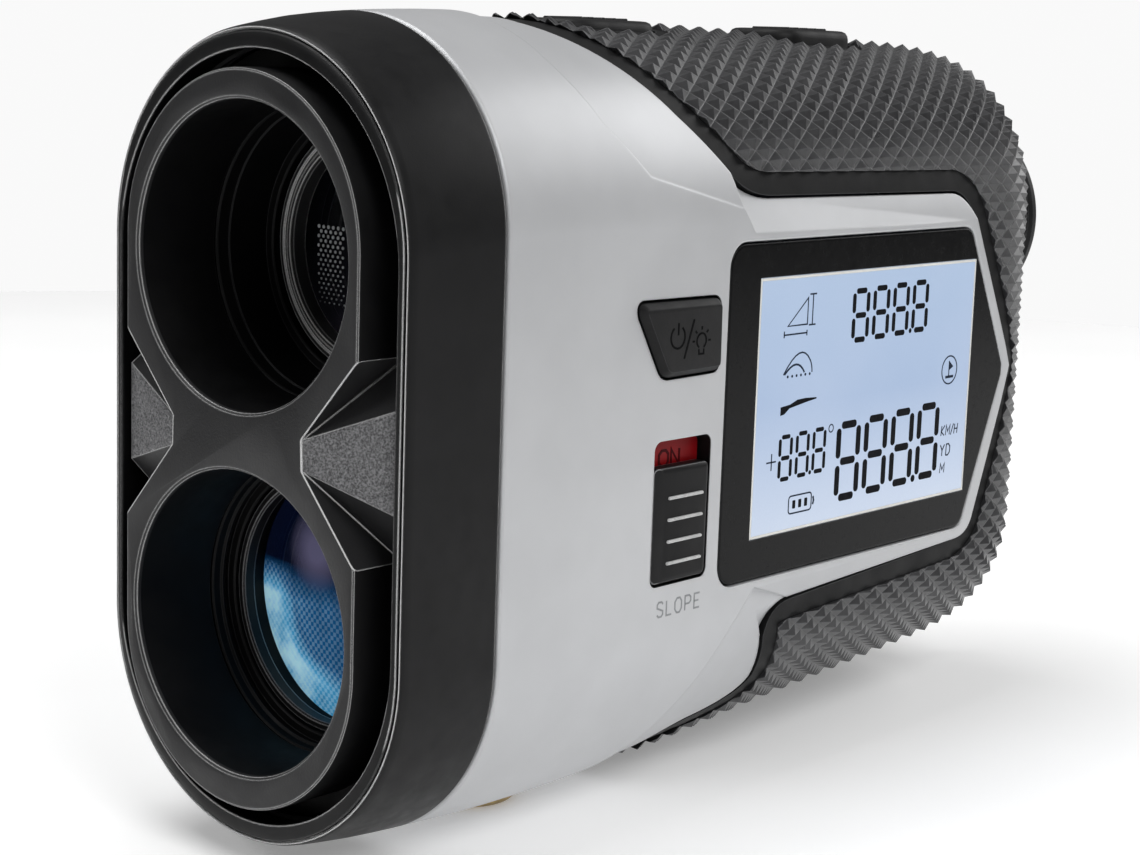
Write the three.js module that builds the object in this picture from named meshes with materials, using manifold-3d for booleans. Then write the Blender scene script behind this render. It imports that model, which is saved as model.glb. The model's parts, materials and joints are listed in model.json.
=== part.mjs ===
// Handheld laser range and speed finder: a monocular with two objectives in front,
// a display on the left side (+X), a rubber grip round the rear half and an eyepiece behind.
//
// Frame: millimetres, +Z up, the objectives look along -Y, the origin is under the middle of the
// bounding box. The design datum has y = 0 at the front rim and z = 0 at mid-height, and one outer
// group moves it to the part's origin.

import * as THREE from 'three';
import { mergeVertices } from 'three/addons/utils/BufferGeometryUtils.js';
import { ConvexGeometry } from 'three/addons/geometries/ConvexGeometry.js';
import { LoftGeometry } from 'three/addons/geometries/LoftGeometry.js';
import Module from 'manifold-3d';

const wasm = await Module();
wasm.setup();

// ---------------------------------------------------------------- driving dimensions

const GAP = 0.3; // clearance between neighbouring pieces
const FRONT = -1.75; // front face of the objective plate
const REAR = 120.25; // rear edge of the eyecup
const BASE = -40.2; // lowest face, the tripod insert

// outer skin of the housing: distance from the front rim, half width, top and bottom
const SKIN = [
  { y: 0, halfWidth: 19.9, top: 38.0, bottom: -38.0 },
  { y: 6, halfWidth: 20.1, top: 39.1, bottom: -38.8 },
  { y: 12, halfWidth: 20.2, top: 39.7, bottom: -39.3 },
  { y: 20, halfWidth: 20.3, top: 40.1, bottom: -39.8 },
  { y: 30, halfWidth: 20.3, top: 40.2, bottom: -40.0 },
  { y: 40, halfWidth: 20.3, top: 40.1, bottom: -39.8 },
  { y: 52, halfWidth: 20.3, top: 39.9, bottom: -39.2 },
  { y: 65, halfWidth: 20.3, top: 39.6, bottom: -38.3 },
  { y: 80, halfWidth: 20.3, top: 39.4, bottom: -37.6 },
  { y: 100, halfWidth: 20.1, top: 38.9, bottom: -36.6 },
];
const ARC_STEPS = 14; // facets round each half-circle of the skin
const BODY_END = 112.6; // flat rear face of the housing
const ROUND_START = 100; // where the rear end starts to round in
const ROUND_DEPTH = 8.5; // how far the sides come in at the rear face
const TOP_SHARE = 0.25; // the top and bottom come in by this share of it

const SHROUD_END = 12.2; // rear edge of the black front shroud
const RIM_WALL = 1.2; // thickness of the shroud's front rim
const SHROUD_WALL = 2.2;
const SEAM = 0.15; // half the gap between the left and right shells

const GRIP_DROP = 0.6; // the grip lies this far below the silver skin
const GRIP_WALL = 1.5;
const CORE_INSET = GRIP_DROP + GRIP_WALL + GAP; // shell surface under the grip
const CAVITY_INSET = 4.2; // inner surface of the shells behind the grip's front edge
const FRONT_CAVITY_INSET = 2.2; // inner surface of the shells ahead of it

const UPPER = { z: 17.33, radius: 14.11 }; // aiming objective
const LOWER = { z: -16.67, radius: 14.35 }; // receiver objective
const PLATE = { halfWidth: 15.85, halfHeight: 34.3, back: 5.2, flangeBack: 7.4 };

const LCD_FACE = 20.2; // outer face of the bezel
const LCD = { front: 50.8, rear: 93.3, low: -13.0, high: 14.4 }; // display opening in the bezel
const BEZEL = { front: 45.6, shoulder: 91.6, lowShoulder: 92.6, tip: 100.9, low: -17.2, high: 18, tipZ: 0.9 };

const TOP_BUTTONS = { measure_button: 45.5, mode_button: 82 }; // centres along the body
const TOP_BUTTON = { length: 15.5, width: 9.6, crown: 39.9, foot: 36.6 };
const SWITCH = { front: 34.6, rear: 43.1, low: -15.2, high: -1.1, corner: 0.7 };
const SWITCH_SLOT = { front: 37.8, rear: 40.4, low: -12, high: -5.4 };
const TRIPOD_Y = 30;
const TRIPOD_HOLE = 3.15; // a quarter-inch screw's outer radius
const EYEPIECE_RADIUS = 13;
const PORT_Z = -10;
const SCREWS = [
  { y: 48.5, z: 29.4, head: -13.6 },
  { y: 100, z: 32.4, head: -9 },
  { y: 60, z: -32.2, head: -9 },
  { y: 100, z: -29.2, head: -9 },
];
const LANYARD = { root: 109.4, reach: 118.2, low: -29.4, high: -20.6, wire: 0.9 };

// ---------------------------------------------------------------- solids and booleans

function signedVolume(position, index) {
  const [a, b, c] = [new THREE.Vector3(), new THREE.Vector3(), new THREE.Vector3()];
  let volume = 0;
  for (let i = 0; i < index.count; i += 3) {
    a.fromBufferAttribute(position, index.getX(i));
    b.fromBufferAttribute(position, index.getX(i + 1));
    c.fromBufferAttribute(position, index.getX(i + 2));
    volume += a.dot(b.cross(c)) / 6;
  }
  return volume;
}

// A closed three.js geometry as a manifold solid with its faces pointing out.
function solid(geometry) {
  const bare = new THREE.BufferGeometry().copy(geometry);
  bare.deleteAttribute('normal');
  bare.deleteAttribute('uv');
  const merged = mergeVertices(bare, 1e-4);
  const triVerts = [];
  const index = merged.index;
  const flip = signedVolume(merged.attributes.position, index) < 0;
  for (let i = 0; i < index.count; i += 3) {
    const [a, b, c] = [index.getX(i), index.getX(i + 1), index.getX(i + 2)];
    if (a === b || b === c || c === a) continue;
    triVerts.push(a, flip ? c : b, flip ? b : c);
  }
  const vertProperties = new Float32Array(merged.attributes.position.array);
  const mesh = new wasm.Mesh({ numProp: 3, vertProperties, triVerts: new Uint32Array(triVerts) });
  return new wasm.Manifold(mesh);
}

function geometryOf(manifold) {
  const mesh = manifold.getMesh();
  const geometry = new THREE.BufferGeometry();
  geometry.setAttribute('position', new THREE.BufferAttribute(new Float32Array(mesh.vertProperties), 3));
  geometry.setIndex(new THREE.BufferAttribute(new Uint32Array(mesh.triVerts), 1));
  return geometry;
}

const join = (first, ...others) => others.reduce((sum, part) => sum.add(part), first);
const cut = (first, ...others) => others.reduce((rest, part) => rest.subtract(part), first);

// ---------------------------------------------------------------- basic shapes

function box(x0, x1, y0, y1, z0, z1) {
  const geometry = new THREE.BoxGeometry(x1 - x0, y1 - y0, z1 - z0);
  geometry.translate((x0 + x1) / 2, (y0 + y1) / 2, (z0 + z1) / 2);
  return solid(geometry);
}

// A cylinder along x, y or z that runs from start to end and is centred on the two other coordinates.
function cylinder(axis, radius, start, end, [first, second], steps = 24) {
  const geometry = new THREE.CylinderGeometry(radius, radius, end - start, steps);
  const middle = (start + end) / 2;
  if (axis === 'x') geometry.rotateZ(Math.PI / 2).translate(middle, first, second);
  if (axis === 'y') geometry.translate(first, middle, second);
  if (axis === 'z') geometry.rotateX(Math.PI / 2).translate(first, second, middle);
  return solid(geometry);
}

// A body turned about a line along Y at the given height, from [radius, y] points.
function turned(profile, z, steps = 30) {
  const points = profile.map(([radius, y]) => new THREE.Vector2(radius, y));
  return solid(new THREE.LatheGeometry(points, steps).translate(0, 0, z));
}

// A closed ring profile: outer wall, then inner wall.
const ringProfile = (outer, inner, y0, y1) =>
  [[inner, y0], [outer, y0], [outer, y1], [inner, y1], [inner, y0]];

// A (y, z) outline extruded along X, with the outline moved by a shift.
function slabX(shape, x0, x1, curveSegments = 6, shift = [0, 0]) {
  const geometry = new THREE.ExtrudeGeometry(shape, { depth: x1 - x0, bevelEnabled: false, curveSegments });
  geometry.translate(shift[0], shift[1], 0);
  const basis = new THREE.Matrix4().makeBasis(
    new THREE.Vector3(0, 1, 0),
    new THREE.Vector3(0, 0, 1),
    new THREE.Vector3(1, 0, 0),
  );
  return solid(geometry.applyMatrix4(basis).translate(x0, 0, 0));
}

// An (x, z) outline extruded along Y.
function slabY(shape, y0, y1, curveSegments = 8) {
  const geometry = new THREE.ExtrudeGeometry(shape, { depth: y1 - y0, bevelEnabled: false, curveSegments });
  return solid(geometry.rotateX(Math.PI / 2).translate(0, y1, 0));
}

// An (x, y) outline extruded along Z.
function slabZ(shape, z0, z1, curveSegments = 6) {
  const geometry = new THREE.ExtrudeGeometry(shape, { depth: z1 - z0, bevelEnabled: false, curveSegments });
  return solid(geometry.translate(0, 0, z0));
}

function roundedRectangle(x0, x1, y0, y1, radius) {
  const shape = new THREE.Shape();
  shape.moveTo(x0 + radius, y0);
  shape.absarc(x1 - radius, y0 + radius, radius, -Math.PI / 2, 0, false);
  shape.absarc(x1 - radius, y1 - radius, radius, 0, Math.PI / 2, false);
  shape.absarc(x0 + radius, y1 - radius, radius, Math.PI / 2, Math.PI, false);
  shape.absarc(x0 + radius, y0 + radius, radius, Math.PI, Math.PI * 1.5, false);
  return shape;
}

function stadium(halfWidth, halfHeight, z = 0) {
  const straight = halfHeight - halfWidth;
  const shape = new THREE.Shape();
  shape.absarc(0, z + straight, halfWidth, 0, Math.PI, false);
  shape.absarc(0, z - straight, halfWidth, Math.PI, Math.PI * 2, false);
  return shape;
}

function outline(points) {
  return new THREE.Shape(points.map(([u, v]) => new THREE.Vector2(u, v)));
}

const hull = (points) => solid(new ConvexGeometry(points.map((point) => new THREE.Vector3(...point))));

// ---------------------------------------------------------------- housing skin

function skinAt(y) {
  const last = SKIN[SKIN.length - 1];
  const after = SKIN.findIndex((row) => row.y > y);
  if (after > 0) {
    const [a, b] = [SKIN[after - 1], SKIN[after]];
    const share = (y - a.y) / (b.y - a.y);
    const mix = (key) => THREE.MathUtils.lerp(a[key], b[key], share);
    return { halfWidth: mix('halfWidth'), top: mix('top'), bottom: mix('bottom') };
  }
  const reach = Math.min((y - ROUND_START) / (BODY_END - ROUND_START), 1) * 0.985;
  const round = ROUND_DEPTH * (1 - Math.sqrt(1 - Math.max(reach, 0) ** 2));
  return {
    halfWidth: last.halfWidth - round,
    top: last.top - TOP_SHARE * round - (y - last.y) * 0.02,
    bottom: last.bottom + TOP_SHARE * round + (y - last.y) * 0.04,
  };
}

function skinRing(y, inset) {
  const innerEnd = BODY_END - inset;
  const stretch = (BODY_END - ROUND_START) / (innerEnd - ROUND_START);
  const source = y > ROUND_START ? ROUND_START + (y - ROUND_START) * stretch : Math.max(y, 0);
  const { halfWidth, top, bottom } = skinAt(source);
  const radius = halfWidth - inset;
  const ring = [];
  for (const [centre, start] of [[top - halfWidth, 0], [bottom + halfWidth, Math.PI]]) {
    for (let i = 0; i <= ARC_STEPS; i++) {
      const angle = start + (Math.PI * i) / ARC_STEPS;
      ring.push(new THREE.Vector3(-radius * Math.cos(angle), y, centre + radius * Math.sin(angle)));
    }
  }
  return ring;
}

// The solid inside the skin, between two stations, with its surface moved in by inset and the
// whole moved by an (x, z) shift.
function skinSolid(y0, y1, inset = 0, shift = [0, 0]) {
  const stations = [y0];
  for (const row of SKIN) {
    if (row.y > y0 + 0.5 && row.y < y1 - 0.5) stations.push(row.y);
  }
  const roundSteps = 6;
  const innerEnd = BODY_END - inset;
  for (let i = 1; i < roundSteps; i++) {
    const y = ROUND_START + (innerEnd - ROUND_START) * Math.sin((Math.PI / 2) * (i / roundSteps));
    if (y > y0 + 0.5 && y < y1 - 0.2) stations.push(y);
  }
  stations.push(y1);
  const rings = stations.map((y) => skinRing(y, inset));
  return solid(new LoftGeometry(rings, { capStart: true, capEnd: true }).translate(shift[0], 0, shift[1]));
}

// Side view of the silver area on the display side, behind which the grip starts.
function panelShape() {
  const shape = new THREE.Shape();
  shape.moveTo(11, 46);
  shape.lineTo(30, 46);
  shape.lineTo(30, 39.2);
  shape.quadraticCurveTo(35, 36.6, 40.1, 30.6);
  shape.lineTo(46, 25);
  shape.quadraticCurveTo(48.5, 22.5, 53, 22.4);
  shape.lineTo(88.6, 22);
  shape.quadraticCurveTo(91.2, 21.8, 92.8, 19.2);
  shape.lineTo(102.8, 1.1);
  shape.lineTo(95.8, -16.4);
  shape.quadraticCurveTo(95, -18.4, 92.6, -18.7);
  shape.lineTo(60, -20.4);
  shape.quadraticCurveTo(55.4, -20.6, 55.8, -24.4);
  shape.quadraticCurveTo(57, -27, 57.6, -29.6);
  shape.quadraticCurveTo(57.4, -32.4, 50, -33.4);
  shape.quadraticCurveTo(45.6, -34.6, 44, -38);
  shape.lineTo(44, -46);
  shape.lineTo(11, -46);
  return shape;
}

// Side view of the silver area on the plain side: the grip covers everything behind it.
function plainShape() {
  const shape = new THREE.Shape();
  shape.moveTo(11, 46);
  shape.lineTo(30, 46);
  shape.lineTo(30, 39.2);
  shape.quadraticCurveTo(35, 36.6, 40.1, 30.6);
  shape.quadraticCurveTo(49, 21.5, 52, 6);
  shape.quadraticCurveTo(54.6, -8, 55.8, -24.4);
  shape.quadraticCurveTo(56.2, -32.4, 50, -33.4);
  shape.quadraticCurveTo(45.6, -34.6, 44, -38);
  shape.lineTo(44, -46);
  shape.lineTo(11, -46);
  return shape;
}

const displaySide = (x0, x1) => slabX(panelShape(), x0, x1, 5);
const plainSide = (x0, x1) => slabX(plainShape(), x0, x1, 5);

// The outline grown all round by the gap, as the sum of shifted copies.
function grownCutter(shape, x0, x1) {
  const shifts = [[GAP, 0], [0, GAP], [-GAP, 0], [0, -GAP]];
  return join(...shifts.map((shift) => slabX(shape, x0, x1, 5, shift)));
}

function topButtonShape(centre, grow = 0) {
  const halfWidth = TOP_BUTTON.width / 2 + grow;
  const halfLength = TOP_BUTTON.length / 2 + grow;
  return roundedRectangle(-halfWidth, halfWidth, centre - halfLength, centre + halfLength, halfWidth * 0.8);
}

const topButtonHoles = () => Object.values(TOP_BUTTONS).map((y) => slabZ(topButtonShape(y, GAP), 30, 46, 4));

const eyepieceHole = (radius) => cylinder('y', radius, 100, 116, [0, UPPER.z], 36);

const lanyardHoles = () =>
  [LANYARD.low, LANYARD.high].map((z) => cylinder('y', LANYARD.wire + GAP, 107, 116, [0, z], 12));

const portHole = (grow) => box(-5 - grow, 5 + grow, 104, 116, PORT_Z - 2.2 - grow, PORT_Z + 2.2 + grow);

// ---------------------------------------------------------------- display outlines

function bezelShape(grow = 0) {
  const radius = 2.4;
  const [front, low, high] = [BEZEL.front - grow, BEZEL.low - grow, BEZEL.high + grow];
  const [shoulder, lowShoulder] = [BEZEL.shoulder + grow * 0.7, BEZEL.lowShoulder + grow * 0.7];
  const shape = new THREE.Shape();
  shape.moveTo(front, low + radius);
  shape.absarc(front + radius, low + radius, radius, Math.PI, Math.PI * 1.5, false);
  shape.lineTo(lowShoulder - 1, low);
  shape.quadraticCurveTo(lowShoulder + 0.6, low, lowShoulder + 1, low + 1.4);
  shape.lineTo(BEZEL.tip + grow * 1.1, BEZEL.tipZ);
  shape.lineTo(shoulder + 1, high - 1.6);
  shape.quadraticCurveTo(shoulder + 0.4, high, shoulder - 1.4, high);
  shape.lineTo(front + radius, high);
  shape.absarc(front + radius, high - radius, radius, Math.PI / 2, Math.PI, false);
  return shape;
}

const lcdOpening = (grow, x0, x1) =>
  box(x0, x1, LCD.front - grow, LCD.rear + grow, LCD.low - grow, LCD.high + grow);

function powerButtonShape(grow = 0) {
  const shape = new THREE.Shape();
  shape.moveTo(31.8 - grow, 13 + grow);
  shape.lineTo(42.8 + grow, 12.9 + grow);
  shape.quadraticCurveTo(43.9 + grow, 12.9 + grow, 43.9 + grow, 11.8);
  shape.lineTo(44 + grow, 6.6);
  shape.quadraticCurveTo(44 + grow, 5.6 - grow, 43, 5.6 - grow);
  shape.lineTo(36, 5.5 - grow);
  shape.quadraticCurveTo(34.9 - grow, 5.5 - grow, 34.4 - grow, 6.4);
  shape.lineTo(31.2 - grow, 11.7);
  shape.quadraticCurveTo(30.7 - grow, 13 + grow, 31.8 - grow, 13 + grow);
  return shape;
}

// The slope switch's outline.
const switchShape = (grow, high = SWITCH.high) =>
  roundedRectangle(
    SWITCH.front - grow,
    SWITCH.rear + grow,
    SWITCH.low - grow,
    high + grow,
    SWITCH.corner + grow * 0.7,
  );

const switchSlot = (x0, x1) =>
  box(x0, x1, SWITCH_SLOT.front, SWITCH_SLOT.rear, SWITCH_SLOT.low, SWITCH_SLOT.high);

// ---------------------------------------------------------------- housing shells

// Bosses that stand across the housing and hold its screws.
const screwBosses = (x0, x1) => SCREWS.map(({ y, z }) => cylinder('x', 2.4, x0, x1, [y, z], 12));

function cavity() {
  const rear = skinSolid(29.5, BODY_END - CAVITY_INSET, CAVITY_INSET);
  return skinSolid(SHROUD_END, 30, FRONT_CAVITY_INSET).add(rear);
}

function housingHalf(silverArea, side) {
  const outside = skinSolid(SHROUD_END + GAP, BODY_END, 0).intersect(silverArea);
  const half = side > 0 ? box(SEAM, 30, 0, 130, -60, 60) : box(-30, -SEAM, 0, 130, -60, 60);
  const core = skinSolid(SHROUD_END + GAP, BODY_END - CORE_INSET, CORE_INSET);
  const bosses = side > 0 ? screwBosses(SEAM, 18) : screwBosses(-18, -SEAM);
  const bossArea = skinSolid(31, BODY_END - CORE_INSET - 1, CORE_INSET + 0.5);
  const wall = cut(core.add(outside).intersect(half), cavity());
  const held = join(wall, ...bosses.map((boss) => boss.intersect(bossArea)));
  const insert = cylinder('z', 5.5 + GAP, -46, -32, [0, TRIPOD_Y], 28);
  const holes = [eyepieceHole(EYEPIECE_RADIUS), portHole(GAP), ...lanyardHoles(), ...topButtonHoles()];
  return cut(held, insert, ...holes);
}

// Sloping faces above and below the display.
function displayChamfers() {
  const above = hull([
    [20.35, 49.5, 18.9], [20.2, 93, 18.9], [18.9, 47.5, 22.9], [18.9, 93, 22.9],
    [26, 45, 18.9], [26, 96, 18.9], [26, 44, 27], [26, 96, 27], [17.6, 46, 27], [17.6, 93, 27],
  ]);
  const below = hull([
    [20.35, 52, -18.1], [20.2, 95, -18.1], [18.9, 56, -22], [18.9, 95, -22],
    [26, 52, -18.1], [26, 98, -18.1], [26, 52, -24], [26, 98, -24], [18.1, 56, -24.2], [18.1, 95, -24.2],
  ]);
  return [above, below];
}

// What has to go where an area of the skin, given by its side outline, lies lower than the rest.
function loweredArea(points, shift, x0, x1) {
  const lower = skinSolid(SHROUD_END, BODY_END, 0, shift);
  return cut(slabX(outline(points), x0, x1), lower);
}

// A facet that starts at the top of the housing and fades out on its flank, ahead of the grip.
function shoulderFacet(x0, x1) {
  const area = [[24, 46], [24.4, 38.8], [25.2, 35.5], [28, 30], [33, 25], [50, 21], [50, 46]];
  return loweredArea(area, [0, -0.5], x0, x1);
}

// A facet that starts under the display and fades out at the bottom, ahead of the grip.
function sweepFacet() {
  const area = [[52, -18.1], [48.4, -21.9], [44.5, -27], [38, -36], [35, -43], [62, -43], [62, -21.4]];
  return loweredArea(area, [-0.9, 0], 4, 30);
}

function leftHousing() {
  const shell = housingHalf(displaySide(SEAM, 30), 1);
  const lcdPocket = slabX(bezelShape(GAP * 0.6), LCD_FACE - 1.5, 26);
  const buttonHole = slabX(powerButtonShape(GAP), 10, 26, 4);
  const switchPocket = slabX(switchShape(GAP), 18.2, 26, 3);
  const pilotHoles = SCREWS.map(({ y, z }) => cylinder('x', 1.3, SEAM - 1, 8, [y, z], 10));
  const openings = [lcdPocket, lcdOpening(0.4, 12, 22), buttonHole, switchPocket, switchSlot(14, 19)];
  return cut(shell, ...openings, ...displayChamfers(), shoulderFacet(SEAM, 30), sweepFacet(), ...pilotHoles);
}

function rightHousing() {
  const shell = housingHalf(plainSide(-30, -SEAM), -1);
  const holes = SCREWS.map(({ y, z, head }) => {
    const shank = cylinder('x', 1.3, -30, SEAM, [y, z], 10);
    return shank.add(cylinder('x', 2.0, -30, head + 2, [y, z], 10));
  });
  return cut(shell, ...holes, shoulderFacet(-30, -SEAM));
}

function housingScrew({ y, z, head }) {
  const cap = cylinder('x', 1.7, head, head + 1.7, [y, z], 10);
  const shank = cylinder('x', 1.0, head + 1.6, 7, [y, z], 10);
  const socket = cylinder('x', 0.85, head - 1, head + 0.9, [y, z], 6);
  return cut(cap.add(shank), socket);
}

// ---------------------------------------------------------------- front end

// A wall that follows the skin, between two insets.
const skinBand = (y0, y1, outerInset, innerInset) =>
  cut(skinSolid(y0, y1, outerInset), skinSolid(y0 - 1, y1 + 1, innerInset));

function frontShroud() {
  const outside = skinSolid(0, SHROUD_END, 0);
  const rimInside = skinSolid(-1, 5, RIM_WALL);
  const inside = skinSolid(4.9, SHROUD_END + 1, SHROUD_WALL);
  const ledge = skinBand(SHROUD_END - 3, SHROUD_END - 1.5, 2, 3.3);
  const tongue = skinBand(SHROUD_END - 3, SHROUD_END + 3, 2.5, 3.3);
  return join(cut(outside, rimInside, inside), ledge, tongue);
}

// A rough ramp in each side notch of the plate, with a smooth triangular facet above and below it.
function notchRamp(side) {
  const inner = 8.85 * side;
  const outer = 18.3 * side;
  const flank = 15.85 * side;
  return hull([
    [inner, FRONT + 0.15, 1.8], [inner, FRONT + 0.15, -1.0], [outer, 0.9, 5.4], [outer, 0.9, -4.0],
    [flank, 4.2, 9.5], [flank, 4.2, -8.9], [inner, PLATE.back + 1, 1.8], [inner, PLATE.back + 1, -1.0],
    [outer, 4.6, 5.4], [outer, 4.6, -4.0],
    [flank, PLATE.back + 1, 9.5], [flank, PLATE.back + 1, -8.9],
  ]);
}

function objectivePlate() {
  const plateau = slabY(stadium(PLATE.halfWidth, PLATE.halfHeight), FRONT, PLATE.flangeBack, 14);
  const flange = skinSolid(PLATE.back, PLATE.flangeBack, SHROUD_WALL + GAP);
  const notches = [1, -1].map((side) => {
    const notch = outline([[8.8 * side, 1.8], [8.9 * side, -1], [16.8 * side, -10], [16.8 * side, 10.7]]);
    return slabY(notch, -4, PLATE.back);
  });
  const holes = [UPPER, LOWER].map(({ z, radius }) => {
    const taper = [[0, -3], [radius + 0.5, FRONT - 0.01], [radius, FRONT + 0.5], [radius - 0.3, 9], [0, 9]];
    return turned(taper, z);
  });
  return cut(join(cut(plateau, ...notches), flange, notchRamp(1), notchRamp(-1)), ...holes);
}

function frontSeal() {
  return skinBand(SHROUD_END + GAP + 3, SHROUD_END + 5, 2.5, 3.6);
}

// ---------------------------------------------------------------- optics

function upperBarrel() {
  return turned([
    [13.8, 7.7], [15.3, 7.7], [15.3, 34.5], [11.2, 34.5], [11.2, 25], [12.4, 25], [12.4, 13.6],
    [13.3, 13.6], [13.8, 7.7],
  ], UPPER.z);
}

function lowerBarrel() {
  return turned([
    [14.05, 7.7], [15.3, 7.7], [15.3, 34.5], [11.2, 34.5], [11.2, 18], [13.0, 18], [13.0, 9.6],
    [13.9, 9.6], [14.05, 7.7],
  ], LOWER.z);
}

// A spherical-looking lens: an arc for each face, bulging by its sag.
function lens(radius, frontSag, edgeFront, edgeRear, rearSag, z, steps = 28) {
  const profile = [];
  const arcSteps = 3;
  for (let i = 0; i <= arcSteps; i++) {
    const share = i / arcSteps;
    profile.push([radius * share, edgeFront - frontSag * (1 - share ** 2)]);
  }
  for (let i = arcSteps; i >= 0; i--) {
    const share = i / arcSteps;
    profile.push([radius * share, edgeRear + rearSag * (1 - share ** 2)]);
  }
  return turned(profile, z, steps);
}

const rectPrism = (halfX, y0, y1, z, halfZ) => box(-halfX, halfX, y0, y1, z - halfZ, z + halfZ);

function frontPrism() {
  const block = rectPrism(9.5, 52, 66, UPPER.z, 9.5);
  return cut(block, hull([
    [-12, 66.1, 28], [12, 66.1, 28], [-12, 66.1, 13], [12, 66.1, 13], [-12, 60, 28], [12, 60, 28],
  ]));
}

function rearPrism() {
  return hull([
    [-9.5, 67.6, 26.6], [9.5, 67.6, 26.6], [-9.5, 67, 13], [9.5, 67, 13], [-9.5, 80, 26.6], [9.5, 80, 26.6],
    [-9.5, 80, 8], [9.5, 80, 8], [-9.5, 72, 8], [9.5, 72, 8],
  ]);
}

function prismCradle() {
  const frame = box(-11.4, 11.4, 50, 82, 5.6, 20);
  return cut(frame, box(-9.8, 9.8, 51.7, 80.3, 7.5, 21), box(-7, 7, 48, 84, 9.6, 21));
}

function eyepieceBarrel() {
  return turned([
    [10.9, 84.5], [12.6, 84.5], [12.6, 113.2], [10.9, 113.2], [10.9, 84.5],
  ], UPPER.z);
}

function focusCell() {
  return turned([
    [8.9, 103], [10.6, 103], [10.6, 115.2], [8.9, 115.2], [8.9, 111.8], [8.2, 111.8], [8.2, 110.8],
    [8.9, 110.8], [8.9, 103],
  ], UPPER.z);
}

// The diopter ring has a row of grip ribs round it.
function diopterRing() {
  const ring = turned(ringProfile(13.1, 10.9, 113.5, 117), UPPER.z, 30);
  const ribCount = 15;
  const ribs = [];
  for (let i = 0; i < ribCount; i++) {
    const angle = (Math.PI * 2 * i) / ribCount;
    const centre = [13.0 * Math.cos(angle), UPPER.z + 13.0 * Math.sin(angle)];
    ribs.push(cylinder('y', 0.5, 113.9, 116.6, centre, 6));
  }
  return join(ring, ...ribs);
}

function eyecup() {
  return turned([
    [9.4, 117.3], [12.6, 117.3], [12.9, 118.6], [12.7, REAR - 0.4], [11.9, REAR], [11.2, REAR - 0.3],
    [10.6, 118.7], [9.4, 118.3], [9.4, 117.3],
  ], UPPER.z);
}

// ---------------------------------------------------------------- grip and controls

function gripSleeve() {
  const outside = skinSolid(29, BODY_END, GRIP_DROP);
  const inside = skinSolid(28, BODY_END - GRIP_DROP - GRIP_WALL, GRIP_DROP + GRIP_WALL);
  const cutters = [grownCutter(panelShape(), 0, 30), grownCutter(plainShape(), -30, 0.01)];
  const cover = roundedRectangle(-8.6, 8.6, PORT_Z - 5.9, PORT_Z + 4.4, 1.6);
  const coverPocket = slabY(cover, BODY_END - GRIP_DROP - 1.2, 116, 4);
  const holes = [...topButtonHoles(), ...lanyardHoles(), eyepieceHole(EYEPIECE_RADIUS), portHole(GAP)];
  return cut(outside, inside, ...cutters, ...holes, coverPocket);
}

function topButton(y) {
  const cap = slabZ(topButtonShape(y), 37.4, TOP_BUTTON.crown - 0.4, 4);
  const crown = slabZ(topButtonShape(y, -0.7), TOP_BUTTON.crown - 0.5, TOP_BUTTON.crown, 4);
  const stem = cylinder('z', 1.6, TOP_BUTTON.foot, 38, [0, y], 12);
  return join(cap, crown, stem);
}

function powerButton() {
  const cap = slabX(powerButtonShape(), 17.9, 20.5, 4);
  const rim = (grow, x) => powerButtonShape(grow).getPoints(3).map((point) => [x, point.x, point.y]);
  const crown = hull([...rim(0, 20.4), ...rim(-0.9, 21.1)]);
  const stem = cylinder('x', 1.5, 16.6, 18, [39.5, 9.3], 12);
  return join(cap, crown, stem);
}

function slopeKnob() {
  const body = slabX(switchShape(0, -3.5), 19.1, 20.5, 3);
  const ridges = [];
  for (let i = 0; i < 4; i++) {
    const z = -13.2 + i * 2.2;
    ridges.push(box(20.3, 20.9, 36.4, 42, z - 0.3, z + 0.3));
  }
  const stem = box(15.4, 19.2, 38.4, 39.8, -10.8, -8.8);
  return join(body, ...ridges, stem);
}

function slopeBed() {
  return cut(slabX(switchShape(0), 18.5, 18.8, 3), switchSlot(18, 19.2));
}

function lcdBezel() {
  return cut(slabX(bezelShape(), LCD_FACE - 1.2, LCD_FACE), lcdOpening(0, 16, 24));
}

// A wire staple in the rear face, drawn as one path: out, round two corners and back in.
function lanyardLoop() {
  const { root, reach, low, high, wire } = LANYARD;
  const corner = 2;
  const point = (y, z) => new THREE.Vector3(0, y, z);
  const turn = (...points) => new THREE.QuadraticBezierCurve3(...points);
  const path = new THREE.CurvePath();
  path.add(new THREE.LineCurve3(point(root, low), point(reach - corner, low)));
  path.add(turn(point(reach - corner, low), point(reach, low), point(reach, low + corner)));
  path.add(new THREE.LineCurve3(point(reach, low + corner), point(reach, high - corner)));
  path.add(turn(point(reach, high - corner), point(reach, high), point(reach - corner, high)));
  path.add(new THREE.LineCurve3(point(reach - corner, high), point(root, high)));
  const section = new THREE.Shape();
  section.absarc(0, 0, wire, 0, Math.PI * 2, false);
  return solid(new THREE.ExtrudeGeometry(section, { steps: 18, extrudePath: path, curveSegments: 8 }));
}

function portCover() {
  const flap = slabY(roundedRectangle(-8.3, 8.3, PORT_Z - 4.1, PORT_Z + 4.1, 1.4), 111.2, 112.6, 4);
  const plug = box(-4.2, 4.2, 109.6, 111.3, PORT_Z - 1.3, PORT_Z + 1.3);
  const hinge = cylinder('x', 0.7, -6, 6, [111.9, PORT_Z - 4.5], 12);
  return join(flap, plug, hinge);
}

function portSocket() {
  const outer = roundedRectangle(-4.8, 4.8, PORT_Z - 2, PORT_Z + 2, 1.6);
  const inner = roundedRectangle(-4.4, 4.4, PORT_Z - 1.6, PORT_Z + 1.6, 1.4);
  return cut(slabY(outer, 102.5, 109.2, 4), slabY(inner, 103.2, 110, 4));
}

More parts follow.
